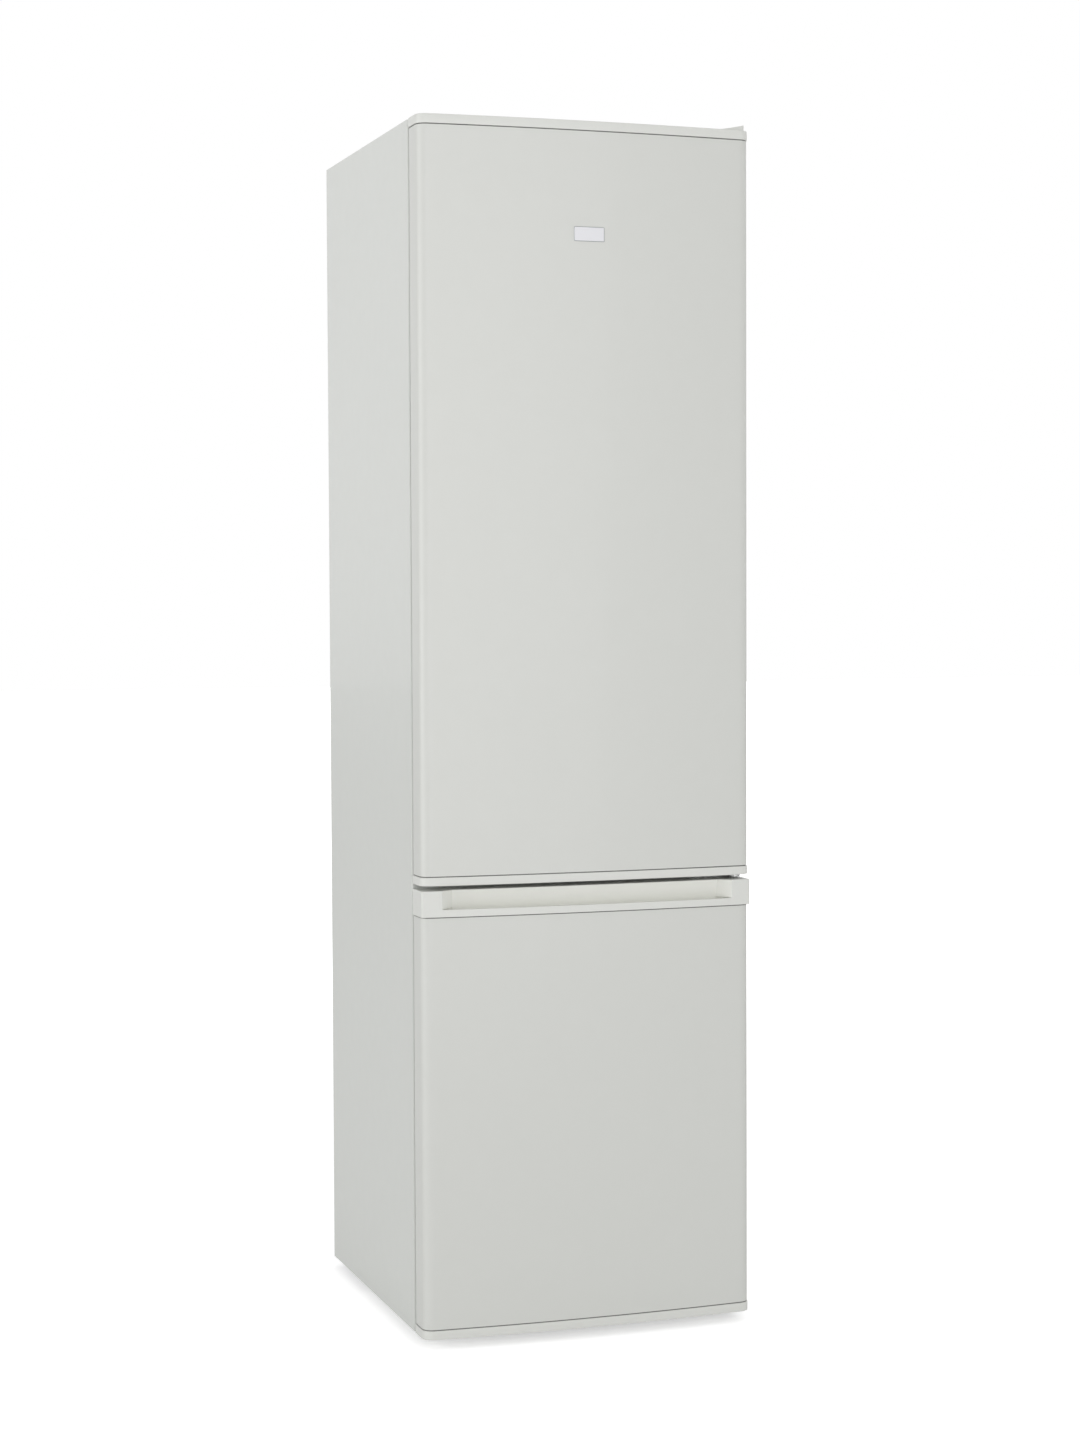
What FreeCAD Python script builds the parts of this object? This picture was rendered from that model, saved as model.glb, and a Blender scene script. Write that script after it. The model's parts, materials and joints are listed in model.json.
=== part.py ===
import FreeCAD, Part
import math
import os

# A free-standing two-door refrigerator with its freezer below. Lengths are in millimetres.
# The shapes are built in cabinet coordinates: x = 0 is the middle, y = 0 the cabinet's front
# plane with +Y towards the back, and z = 0 the cabinet's underside. save() then moves each one
# so that the origin lies on the floor, under the middle of the whole refrigerator.

V = FreeCAD.Vector

# Cabinet
cabinet_width = 540.0
cabinet_height = 1870.0
cabinet_depth = 514.0
floor_gap = 16.0
sheet = 0.8
bend_radius = 2.0
rear_flange = 12.0
flange_hem = 8.0
overrun = 6.0
seat_gap = 0.3
contact_gap = 0.1
near = 0.5

# Walls and compartments
fridge_wall = 47.0
freezer_wall = 55.0
top_wall = 50.0
back_wall = 48.0
freezer_floor = 75.0
centre_wall = 60.0
liner_sheet = 2.0
liner_radius = 18.0
corner_steps = 3
liner_flange = 10.0
bay_depth = 190.0
bay_height = 225.0
bay_slope = 40.0
bay_insulation = 45.0
rail_leg = 25.0

# Doors
door_gap = 9.5
door_depth = 48.1
door_bow = 10.2
door_corner_radius = 16.0
lower_door_height = 693.0
between_doors = 7.7
door_return = 12.0
cap_height = 15.7
low_cap_height = 14.6
cap_proud = 1.0
cap_wall = 2.5
cap_edge_bevel = 1.2
seam_height = 1.2
seam_depth = 0.6

# Handle moulding along the top of the lower door
handle_height = 41.8
handle_corner_radius = 2.5
scoop_end_margin = 31.0
scoop_end_slant = 20.0
scoop_lip_height = 12.8
scoop_depth_top = 12.0
scoop_depth_low = 20.0
scoop_floor = 6.5
lip_thickness = 3.5
lip_edge_bevel = 1.0

# Bare plate on the upper door
plate_width = 49.4
plate_height = 22.5
plate_thickness = 0.8
plate_below_top = 172.4
plate_corner_radius = 1.5

# Door hinges
pin_inset = 15.0
pin_setback = 18.0
pin_radius = 3.5
pin_clearance = 0.05
pin_length = 12.0
pin_end_gap = 1.5
collar_radius = 6.5
hinge_plate = 3.0
hinge_step = 2.0
hinge_reach = 62.0
hinge_arm_width = 24.0
hinge_end_radius = 10.0
hinge_screw_inset = 14.0
middle_flange_height = 18.0
middle_flange_width = 76.0
boss_wall = 5.0

# Cover of the top hinge
cover_wall = 1.6
cover_height = 14.0
cover_low_height = 4.5
cover_width = 54.0
cover_length = 118.0
cover_front_reach = 45.0
cover_end_inset = 3.0

# Door seals and inner door panels
seal_width = 16.0
seal_inset = 16.0
seal_groove_width = 6.0
seal_groove_depth = 2.0
seal_past_opening = 3.0
panel_margin = 13.0
panel_end_margin = 4.0
ridge_clearance = 5.0
freezer_ridge_clearance = 7.0
ridge_end_clearance = 10.0
ridge_wall_width = 17.0
ridge_draft = 1.5
fridge_ridge_reach = 30.0
freezer_ridge_reach = 10.0

# Door bins
bin_wall = 2.5
bin_side_gap = 7.0
bin_corner_radius = 25.0
bin_rail_bow = 5.0
bin_panel_gap = 1.5
lug_width = 10.0
lug_height = 14.0
lug_reach = 5.5
lug_above_bin = 22.0
lug_setback = 4.0
hook_thickness = 5.5
hook_height = 28.0
hook_width = 22.0
bin_clear = 0.3
low_bin_height = 110.0
low_bin_reach = 118.0
middle_bin_height = 70.0
middle_bin_reach = 95.0
top_bin_height = 62.0
top_bin_reach = 85.0
bin_lift_shares = (0.044, 0.471, 0.764)
bow_steps = 6

# Glass shelves and the ledges that carry them
ledge_reach = 9.0
ledge_height = 8.0
first_ledge_height = 178.0
ledge_pitch = 105.0
ledge_top_gap = 200.0
ledges_per_shelf = 2
shelf_setback = 128.0
shelf_rear_gap = 20.0
shelf_side_gap = 1.0
glass = 4.0
trim_depth = 12.0
trim_height = 13.0
trim_lip = 3.0
rear_trim_height = 22.0

# Crisper drawer
crisper_height = 160.0
crisper_taper = 8.0
crisper_side_gap = 14.0
crisper_front_gap = 7.0
crisper_rear_gap = 26.0
crisper_front_wall = 8.0
box_wall = 2.5
grip_height = 12.0
grip_depth = 5.0
grip_width_share = 0.4
grip_below_top = 16.0

# Freezer drawers and the glass shelves between them
drawer_setback = 18.0
drawer_front_thickness = 14.0
drawer_side_gap = 9.0
drawer_taper = 10.0
drawer_rear_gap = 16.0
drawer_top_gap = 12.0
step_rear_gap = 8.0
step_clearance = 20.0
upper_shelf_share = 0.478
freezer_shelf_setback = 36.0

# Control housing, lamp and dial under the refrigerator's ceiling
housing_width = 210.0
housing_depth = 110.0
housing_height = 40.0
housing_wall = 2.5
housing_setback = 150.0
housing_bevel = 5.0
dial_radius = 15.0
dial_sides = 18
dial_thickness = 10.0
dial_grip_height = 4.0
dial_grip_width = 5.0
dial_grip_share = 0.8
dial_offset = 62.0
dial_shaft_radius = 3.0
dial_shaft_length = 16.0
lamp_window_width = 110.0
lamp_window_height = 24.0
lamp_window_offset = -26.0
lamp_cover_sheet = 1.5
lamp_radius = 11.0
lamp_length = 52.0
lamp_socket_radius = 8.0
lamp_socket_length = 20.0

# Evaporator plates bonded to the liners' rear walls, inside the insulation
evaporator_sheet = 1.4
evaporator_margin = 40.0
evaporator_channel = 8.0
evaporator_channel_rise = 2.0
evaporator_channels = 3
fridge_evaporator_height = 420.0

# Wire-on-tube condenser on the back
condenser_reach = 17.2
condenser_top_gap = 250.0
condenser_pitch = 80.0
condenser_inset = 52.0
condenser_base = 320.0
condenser_tube = 4.8
wire_thickness = 1.6
wires_per_side = 22
wire_overhang = 14.0
tube_sides = 6
wire_sides = 4
hex_sides = 6
round_sides = 12
bend_step = math.radians(45)
clip_width = 9.0
clip_height = 16.0
clip_run_shares = (0.125, 0.5, 0.875)
clip_bay_share = 0.12

# Compressor, its tray and the pipes
tray_sheet = 1.5
tray_lip = 20.0
compressor_length = 196.0
compressor_width = 136.0
compressor_height = 160.0
compressor_top_radius = 42.0
compressor_low_radius = 26.0
top_dome_steps = 4
low_dome_steps = 2
oval_steps = 8
compressor_offset = -50.0
seam_flange = 3.5
seam_thickness = 3.0
mount_plate = 3.0
mount_spread = 212.0
mount_span = 112.0
mount_ear_radius = 15.0
grommet_radius = 11.0
grommet_neck_radius = 6.5
grommet_height = 13.0
grommet_cap = 4.0
grommet_cap_radius = 9.0
grommet_sides = 8
bolt_radius = 3.0
bolt_head_radius = 6.0
bolt_head_height = 4.0
relay_length = 62.0
relay_depth = 34.0
relay_height = 70.0
relay_bevel = 6.0
relay_sink = 12.0
dish_wall = 2.0
dish_height = 26.0
dish_length = 190.0
dish_width = 110.0
dish_taper = 6.0
pipe_radius = 2.4
pipe_bend = 10.0
pipe_lead = 4.0
stub_radius = 4.0
stub_length = 14.0
stub_height_share = 0.55
drier_radius = 8.5
drier_length = 96.0
drier_taper = 14.0
drier_offset = 150.0
pipe_lane = 12.0

# Feet and rear rollers
foot_radius = 17.0
foot_height = 9.0
foot_rim_bevel = 1.5
foot_sides = 16
stud_radius = 4.0
stud_clearance = 0.05
stud_length = 34.0
foot_inset = 46.0
foot_setback = 62.0
nut_radius = 9.0
nut_height = 10.0
roller_radius = 12.0
roller_sides = 20
roller_width = 16.0
roller_axle_radius = 3.0
roller_inset = 40.0
roller_from_back = 40.0
fork_sheet = 2.0
fork_half_length = 15.0
fork_drop = 9.0
axle_head = 1.5

# Screws
screw_head_radius = 4.5
screw_head_height = 2.4
screw_radius = 2.2
screw_length = 12.0
screw_pitch = 18.0

# Places worked out from the sizes above
half_width = cabinet_width / 2
scoop_half_width = half_width - scoop_end_margin
fridge_half = half_width - fridge_wall
freezer_half = half_width - freezer_wall
gap_middle = lower_door_height + between_doors / 2
freezer_top = gap_middle - centre_wall / 2
fridge_floor = gap_middle + centre_wall / 2
fridge_top = cabinet_height - top_wall
ledge_count = int((fridge_top - fridge_floor - first_ledge_height - ledge_top_gap) / ledge_pitch) + 1
shelf_ledges = range(0, ledge_count, ledges_per_shelf)
cavity_back = cabinet_depth - back_wall
bay_front = cabinet_depth - bay_depth
step_front = bay_front - bay_insulation
step_top = bay_height + bay_insulation
flange_edge = fridge_half + liner_sheet
fold_reach = bend_radius + sheet * (math.sqrt(2) - 1)
door_rear = -door_gap
corner_plane = -door_gap - door_depth
upper_door_bottom = lower_door_height + between_doors
pin_x = half_width - pin_inset
pin_y = door_rear - pin_setback
inner_panel_rear = door_rear + liner_sheet
panel_half = half_width - panel_margin
seal_half = half_width - seal_inset
condenser_loops = int((cabinet_height - condenser_base - condenser_top_gap) / (2 * condenser_pitch))
condenser_runs = 2 * condenser_loops + 1
overall_depth = cabinet_depth + door_gap + door_depth + door_bow + cap_proud + condenser_reach
origin_shift = V(0, overall_depth / 2 - cabinet_depth - condenser_reach, floor_gap)

os.makedirs("parts", exist_ok=True)


def save(name, shape):
    """Write one sub-part in the refrigerator's own frame."""
    placed = shape.copy()
    placed.translate(origin_shift)
    placed.exportStep("parts/" + name + ".step")


# Small building blocks


def block(x, y, z):
    """A box between the low and high values of each axis."""
    return Part.makeBox(x[1] - x[0], y[1] - y[0], z[1] - z[0], V(x[0], y[0], z[0]))


def rod(start, end, radius):
    """A round bar from one point to another."""
    line = end - start
    return Part.makeCylinder(radius, line.Length, start, line)


def bar(start, end, radius, sides):
    """A straight bar whose section is a regular outline of flat sides."""
    heading = (end - start).normalize()
    first, second = square_to(heading)
    return polygon(ring_points(start, 2 * radius, sides, first, second)).extrude(end - start)


def square_to(heading):
    """Two directions at right angles to a heading and to each other."""
    guide = V(0, 0, 1) if abs(heading.z) < math.sqrt(0.5) else V(1, 0, 0)
    first = heading.cross(guide).normalize()
    return first, heading.cross(first)


def join(shapes):
    """Fuse shapes into one solid where they touch."""
    return shapes[0].multiFuse(shapes[1:]).removeSplitter()


def trim_by(shape, others):
    """Cut the others out of a shape and keep its main piece."""
    for other in others:
        shape = shape.cut(other)
    return max(shape.Solids, key=lambda piece: piece.Volume)


def both_sides(shape):
    """The shape and its mirror image across the middle plane."""
    return [shape, shape.mirror(V(0, 0, 0), V(1, 0, 0))]


def polygon(points):
    return Part.Face(Part.makePolygon(points + points[:1]))


def profile_x(points, x):
    """Extrude an outline of (y, z) points between two x values."""
    face = polygon([V(x[0], y, z) for y, z in points])
    return face.extrude(V(x[1] - x[0], 0, 0))


def profile_y(points, y):
    """Extrude an outline of (x, z) points between two y values."""
    face = polygon([V(x, y[0], z) for x, z in points])
    return face.extrude(V(0, y[1] - y[0], 0))


def runs_along(edge, axis):
    """True for a straight edge parallel to the axis."""
    if not isinstance(edge.Curve, Part.Line):
        return False
    return abs(abs(edge.tangentAt(edge.FirstParameter).dot(axis)) - 1) < 1e-6


def bevel_edges(shape, size, wanted):
    """Chamfer the edges that the test picks."""
    return shape.makeChamfer(size, [edge for edge in shape.Edges if wanted(edge)])


def eased(points, leg):
    """The path of a folded strip with one flat in place of each corner."""
    path = [points[0]]
    for before, corner, after in zip(points, points[1:], points[2:]):
        path.append(corner + (before - corner).normalize() * leg)
        path.append(corner + (after - corner).normalize() * leg)
    return path + [points[-1]]


def folded_sheet(points, thickness, along):
    """Fold a strip of sheet through the points. A negative thickness lies on its left."""
    line = Part.makePolygon(points)
    face = line.makeOffset2D(thickness, join=2, fill=True, openResult=True)
    return face.Faces[0].extrude(along)


def ring_points(centre, across, count, first, second):
    """Corners of a regular outline with flat sides, of the given size across its flats."""
    reach = across / 2 / math.cos(math.pi / count)
    points = []
    for index in range(count):
        angle = (index + 0.5) * 2 * math.pi / count
        points.append(centre + first * (reach * math.cos(angle)) + second * (reach * math.sin(angle)))
    return points


def stacked(sections):
    """A solid with flat faces between outlines that have the same number of corners."""
    faces = [polygon(sections[0]), polygon(sections[-1])]
    for low, high in zip(sections, sections[1:]):
        for index, corner in enumerate(low):
            after = (index + 1) % len(low)
            faces.append(polygon([corner, low[after], high[after], high[index]]))
    solid = Part.makeSolid(Part.makeShell(faces))
    if solid.Volume < 0:
        solid.reverse()
    return solid


def pipe(points, radius, bend):
    """A bent pipe: flat-sided sections on the straight runs and at even steps round each bend."""
    heading = (points[1] - points[0]).normalize()
    first, second = square_to(heading)
    places = [(points[0], first, second)]
    for before, corner, after in zip(points, points[1:], points[2:]):
        arrive = (corner - before).normalize()
        leave = (after - corner).normalize()
        turn = arrive.getAngle(leave)
        axis = arrive.cross(leave).normalize()
        centre = corner - arrive * (bend * math.tan(turn / 2)) + axis.cross(arrive) * bend
        steps = max(1, round(turn / bend_step))
        for step in range(steps + 1):
            spin = FreeCAD.Rotation(axis, math.degrees(turn * step / steps))
            arm = spin.multVec(axis.cross(arrive) * -bend)
            places.append((centre + arm, spin.multVec(first), spin.multVec(second)))
        first = places[-1][1]
        second = places[-1][2]
    places.append((points[-1], first, second))
    sections = []
    last = None
    for place, across, up in places:
        if last is None or (place - last).Length > contact_gap:
            sections.append(ring_points(place, 2 * radius, tube_sides, across, up))
            last = place
    return stacked(sections)


def framed(outer, inner, y):
    """A rectangular frame in the plane of the door. The sizes are (half width, bottom, top)."""
    solid = block((-outer[0], outer[0]), y, (outer[1], outer[2]))
    hole = block((-inner[0], inner[0]), (y[0] - overrun, y[1] + overrun), (inner[1], inner[2]))
    return solid.cut(hole)


# Cabinet shell


def side_panel():
    """Right side: folded sheet with a front flange, its hem and a rear flange."""
    points = [
        V(flange_edge, flange_hem, 0),
        V(flange_edge, 0, 0),
        V(half_width, 0, 0),
        V(half_width, cabinet_depth, 0),
        V(half_width - rear_flange, cabinet_depth, 0),
    ]
    solid = folded_sheet(eased(points, bend_radius), -sheet, V(0, 0, cabinet_height))
    across = (0, half_width - sheet)
    along = (-overrun, cabinet_depth + overrun)
    over = block(across, along, (cabinet_height - sheet, cabinet_height + overrun))
    under = block(across, along, (-overrun, sheet))
    return solid.cut(over).cut(under)


def top_panel():
    """Top sheet over the sides, with a front and a rear flange between them."""
    inside = half_width - sheet
    points = [
        V(-inside, 0, cabinet_height - top_wall + liner_sheet),
        V(-inside, 0, cabinet_height),
        V(-inside, cabinet_depth, cabinet_height),
        V(-inside, cabinet_depth, cabinet_height - rear_flange),
    ]
    solid = folded_sheet(eased(points, bend_radius), sheet, V(2 * inside, 0, 0))
    z = (cabinet_height - top_wall, cabinet_height - sheet)
    front = block((flange_edge, half_width), (-overrun, fold_reach), z)
    rear = block((half_width - rear_flange, half_width), (cabinet_depth - fold_reach, cabinet_depth), z)
    return trim_by(solid, both_sides(front) + both_sides(rear))


def base_panel():
    """Floor sheet in front of the compressor bay, with the front rail folded up from it."""
    inside = half_width - sheet
    points = [
        V(-inside, 0, freezer_floor - liner_flange),
        V(-inside, 0, 0),
        V(-inside, bay_front, 0),
    ]
    solid = folded_sheet(points, -sheet, V(2 * inside, 0, 0))
    end = block((flange_edge, half_width), (-overrun, fold_reach), (sheet, freezer_floor))
    return trim_by(solid, both_sides(end) + [nut_blank(x, y) for x, y in foot_places()])


def centre_rail():
    """Folded channel between the two compartments; its face carries the middle hinge."""
    half = flange_edge
    points = [
        V(-half, rail_leg, freezer_top + liner_flange),
        V(-half, 0, freezer_top + liner_flange),
        V(-half, 0, fridge_floor - liner_sheet),
        V(-half, rail_leg, fridge_floor - liner_sheet),
    ]
    return folded_sheet(points, sheet, V(2 * half, 0, 0))


def bay_panel():
    """Sheet over and in front of the compressor bay, with a sloping corner."""
    inside = half_width - fold_reach
    points = [
        V(-inside, bay_front, sheet),
        V(-inside, bay_front, bay_height - bay_slope),
        V(-inside, bay_front + bay_slope, bay_height),
        V(-inside, cabinet_depth - sheet, bay_height),
    ]
    return folded_sheet(points, sheet, V(2 * inside, 0, 0))


def back_panel():
    """Flat rear sheet above the bay, between the rear flanges."""
    inside = half_width - rear_flange
    return block(
        (-inside, inside),
        (cabinet_depth - sheet, cabinet_depth),
        (bay_height, cabinet_height - rear_flange),
    )


def compressor_tray():
    """Rear cross member with turned-up edges; the compressor and the rollers hang on it."""
    inside = half_width - fold_reach
    points = [
        V(-inside, bay_front + sheet, tray_lip),
        V(-inside, bay_front + sheet, 0),
        V(-inside, cabinet_depth - sheet, 0),
        V(-inside, cabinet_depth - sheet, tray_lip),
    ]
    solid = folded_sheet(points, -tray_sheet, V(2 * inside, 0, 0))
    for side in (-1, 1):
        solid = solid.cut(roller_slot(side))
    return solid


# Liners and insulation


def rounded_prism(half, z, y, radius):
    """A bar along the cabinet's depth whose section has rounded corners of a few flats."""
    points = []
    corners = [
        (half - radius, z[0] + radius),
        (half - radius, z[1] - radius),
        (radius - half, z[1] - radius),
        (radius - half, z[0] + radius),
    ]
    for quarter, (x, height) in enumerate(corners):
        for step in range(corner_steps + 1):
            angle = math.pi / 2 * (quarter - 1 + step / corner_steps)
            points.append((x + radius * math.cos(angle), height + radius * math.sin(angle)))
    return profile_y(points, y)


def fridge_cavity(grow):
    """The refrigerator's cavity, grown outwards and open at the front."""
    z = (fridge_floor - grow, fridge_top + grow)
    return rounded_prism(fridge_half + grow, z, (0, cavity_back + grow), liner_radius + grow)


def freezer_cavity(grow):
    """The freezer's cavity, grown outwards, open at the front and stepped over the compressor bay."""
    half = freezer_half + grow
    radius = liner_radius + grow
    top = freezer_top + grow
    deep = rounded_prism(half, (step_top - grow, top), (0, cavity_back + grow), radius)
    front = rounded_prism(half, (freezer_floor - grow, top), (0, step_front + grow), radius)
    return join([deep, front])


def ledge(half, y, top):
    """Moulded ledge on the right wall, sloped below and at its front end."""
    points = [
        (half, top - 2 * ledge_height),
        (half - ledge_reach, top - ledge_height),
        (half - ledge_reach, top),
        (half, top),
    ]
    low = top - 2 * ledge_height
    plan = [
        V(half, y[0], low),
        V(half - ledge_reach, y[0] + ledge_reach, low),
        V(half - ledge_reach, y[1], low),
        V(half, y[1], low),
    ]
    return profile_y(points, y).common(polygon(plan).extrude(V(0, 0, 2 * ledge_height)))


def ledge_top(index):
    return fridge_floor + first_ledge_height + index * ledge_pitch


def fridge_liner():
    """Vacuum-formed inner box of the refrigerator with its shelf ledges."""
    parts = [fridge_cavity(liner_sheet).cut(fridge_cavity(0))]
    depth = (shelf_setback + 2 * trim_depth, cavity_back - liner_radius)
    for index in range(ledge_count):
        parts += both_sides(ledge(fridge_half, depth, ledge_top(index)))
    return join(parts)


def freezer_levels():
    """Heights of the two glass shelves between the drawers."""
    low = step_top + step_clearance
    return [low, low + upper_shelf_share * (freezer_top - low)]


def freezer_liner():
    """Vacuum-formed inner box of the freezer with its front flange and shelf ledges."""
    shell = freezer_cavity(liner_sheet).cut(freezer_cavity(0))
    wide = (flange_edge, freezer_floor - liner_flange, freezer_top + liner_flange)
    inner = (freezer_half, freezer_floor, freezer_top)
    parts = [shell, framed(wide, inner, (0, liner_sheet))]
    for level in freezer_levels():
        parts += both_sides(ledge(freezer_half, (freezer_shelf_setback, cavity_back - liner_radius), level))
    return join(parts)


def evaporator(bottom, top):
    """Bonded plate with raised channels behind a liner's rear wall."""
    half = freezer_half - evaporator_margin
    front = cavity_back + liner_sheet
    plate = block((-half, half), (front, front + evaporator_sheet), (bottom, top))
    pitch = (top - bottom) / (evaporator_channels + 1)
    channels = []
    for index in range(evaporator_channels):
        middle = bottom + (index + 1) * pitch
        channels.append(
            block(
                (-half + evaporator_channel, half - evaporator_channel),
                (front + evaporator_sheet, front + evaporator_sheet + evaporator_channel_rise),
                (middle - evaporator_channel / 2, middle + evaporator_channel / 2),
            )
        )
    return join([plate] + channels)


def cabinet_foam(hollows):
    """Insulation that fills the cabinet between the shell and the liners."""
    solid = block(
        (-half_width + sheet, half_width - sheet),
        (sheet, cabinet_depth - sheet),
        (sheet, cabinet_height - sheet),
    )
    def fold(edge):
        level = runs_along(edge, V(1, 0, 0)) and edge.BoundBox.ZMin > cabinet_height / 2
        return level or runs_along(edge, V(0, 0, 1))

    solid = bevel_edges(solid, fold_reach - sheet, fold)
    hem = block((flange_edge, flange_edge + fold_reach), (0, flange_hem + seat_gap), (0, cabinet_height))
    bay = [
        (bay_front, 0),
        (cabinet_depth, 0),
        (cabinet_depth, bay_height),
        (bay_front + bay_slope, bay_height),
        (bay_front, bay_height - bay_slope),
    ]
    solid = solid.cut(profile_x(bay, (-cabinet_width, cabinet_width)))
    return trim_by(solid, hollows + both_sides(hem))


def divided_foam(foam):
    """The insulation above and below the freezer's step, as two blocks that meet there."""
    across = (-cabinet_width, cabinet_width)
    low = block(across, (-cabinet_depth, 2 * cabinet_depth), (-overrun, step_top - liner_sheet))
    return foam.cut(low), foam.common(low)


# Doors


def bow_circle():
    """Radius of the doors' bowed front and the y value of its centre."""
    radius = (half_width**2 + door_bow**2) / (2 * door_bow)
    return radius, corner_plane - door_bow + radius


def door_outline(grow, rear, corner, z):
    """Closed outline of a door seen from above: flat rear, straight sides, rounded corners, bowed front."""
    half = half_width
    radius, centre_y = bow_circle()
    corner_x = half - corner
    corner_y = centre_y - math.sqrt((radius - corner) ** 2 - corner_x**2)
    out = V(corner_x, corner_y - centre_y, 0).normalize()
    side = V(half + grow, corner_y, z)
    touch = V(corner_x, corner_y, z) + out * (corner + grow)
    slant = (V(1, 0, 0) + out).normalize()
    knee = V(corner_x, corner_y, z) + slant * (corner + grow)
    front = V(0, centre_y - radius - grow, z)

    def flip(point):
        return V(-point.x, point.y, point.z)

    edges = [
        Part.makeLine(V(half + grow, rear, z), side),
        Part.Arc(side, knee, touch).toShape(),
        Part.Arc(touch, front, flip(touch)).toShape(),
        Part.Arc(flip(touch), flip(knee), flip(side)).toShape(),
        Part.makeLine(flip(side), V(-half - grow, rear, z)),
        Part.makeLine(V(-half - grow, rear, z), V(half + grow, rear, z)),
    ]
    return Part.Wire(edges)


def door_prism(grow, rear, z, corner=door_corner_radius):
    face = Part.Face(door_outline(grow, rear, corner, z[0]))
    return face.extrude(V(0, 0, z[1] - z[0]))


def door_panel(z):
    """Coated sheet wrapped round the front and sides, with narrow rear returns."""
    outer = door_prism(0, door_rear, z)
    inner = door_prism(-sheet, door_rear - sheet, (z[0] - overrun, z[1] + overrun))
    inside = half_width - door_return
    around = (door_rear - overrun, door_rear + overrun)
    rear = block((-inside, inside), around, (z[0] - overrun, z[1] + overrun))
    return outer.cut(inner).cut(rear)


def pin_bore(z):
    """Bore with flat sides that run round a hinge pin."""
    return bar(V(pin_x, pin_y, z[0]), V(pin_x, pin_y, z[1]), pin_radius + pin_clearance, round_sides)


def end_cap(seam, end):
    """Moulded cap on a door's end: a recessed seam, a proud skirt with a rounded rim, and a pin boss."""
    way = 1 if end > seam else -1
    step = seam + way * seam_height
    neck = door_prism(-seam_depth, door_rear, sorted((seam, step)))
    skirt = door_prism(cap_proud, door_rear, sorted((step, end)))

    def rim(edge):
        box = edge.BoundBox
        flat = abs(box.ZMin - end) < near and abs(box.ZMax - end) < near
        return flat and box.YMin < door_rear - near

    skirt = bevel_edges(skirt, cap_edge_bevel, rim)
    floor = end - way * cap_wall
    pocket = door_prism(-cap_wall, door_rear - cap_wall, sorted((seam - way * overrun, floor)))
    boss = bar(V(pin_x, pin_y, seam), V(pin_x, pin_y, end), pin_radius + boss_wall, hex_sides)
    bore_end = end - way * (pin_length + pin_end_gap)
    bore = pin_bore(sorted((bore_end, end + way * overrun)))
    solid = neck.fuse(skirt).cut(pocket)
    return join([solid, boss.common(neck.fuse(skirt))]).cut(bore)


def scoop_outline(depth, z):
    """The recess at a height: its rear wall follows the bow and its ends splay out to the front."""
    radius, centre_y = bow_circle()
    wide = scoop_half_width - scoop_end_slant
    inner = radius - depth
    back = centre_y - math.sqrt(inner**2 - wide**2)
    mouth = centre_y - math.sqrt((radius + cap_proud) ** 2 - scoop_half_width**2)
    ahead = corner_plane - 2 * door_bow
    corners = [V(wide, back, z), V(scoop_half_width, mouth, z), V(scoop_half_width, ahead, z)]
    corners += [V(-corner.x, corner.y, z) for corner in reversed(corners)]
    edges = [Part.Arc(corners[-1], V(0, centre_y - inner, z), corners[0]).toShape()]
    edges += [Part.makeLine(first, second) for first, second in zip(corners, corners[1:])]
    return Part.Wire(edges)


def lip_groove(z):
    """The groove behind the recess's front lip."""
    radius, centre_y = bow_circle()
    wide = scoop_half_width - scoop_end_slant
    inner = radius - scoop_depth_low
    lip = radius - lip_thickness
    back = V(wide, centre_y - math.sqrt(inner**2 - wide**2), z[0])
    front = V(wide, centre_y - math.sqrt(lip**2 - wide**2), z[0])
    far_back = V(-wide, back.y, z[0])
    far_front = V(-wide, front.y, z[0])
    edges = [
        Part.Arc(far_back, V(0, centre_y - inner, z[0]), back).toShape(),
        Part.makeLine(back, front),
        Part.Arc(front, V(0, centre_y - lip, z[0]), far_front).toShape(),
        Part.makeLine(far_front, far_back),
    ]
    return Part.Face(Part.Wire(edges)).extrude(V(0, 0, z[1] - z[0]))


def scoop():
    """The finger recess: a slanted back wall, splayed ends and a groove behind the lip."""
    bottom = lower_door_height - handle_height
    low = bottom + scoop_lip_height
    top = lower_door_height + overrun
    outlines = [scoop_outline(scoop_depth_low, low), scoop_outline(scoop_depth_top, top)]
    mouth = Part.makeLoft(outlines, True, True)
    return mouth.fuse(lip_groove((bottom + scoop_floor, low)))


def handle_moulding():
    """The lower door's top: a square-cornered moulding with the finger recess along its front."""
    bottom = lower_door_height - handle_height
    step = bottom + seam_height
    neck = door_prism(-seam_depth, door_rear, (bottom, step))
    body = door_prism(cap_proud, door_rear, (step, lower_door_height), handle_corner_radius)

    def rim(edge):
        box = edge.BoundBox
        return box.ZMin > lower_door_height - near and box.YMin < door_rear - near

    solid = neck.fuse(bevel_edges(body, lip_edge_bevel, rim)).cut(scoop())
    solid = solid.cut(handle_core())
    bore = pin_bore((lower_door_height - pin_length - pin_end_gap, lower_door_height + overrun))
    return solid.cut(bore).removeSplitter()


def handle_core():
    """Hollow under the moulding behind the scoop, filled with insulation."""
    reach = scoop_half_width - scoop_end_slant
    bottom = lower_door_height - handle_height
    back = corner_plane + scoop_depth_low + cap_wall
    z = (bottom - overrun, lower_door_height - cap_wall)
    return block((-reach, reach), (back, door_rear - cap_wall), z)


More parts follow.
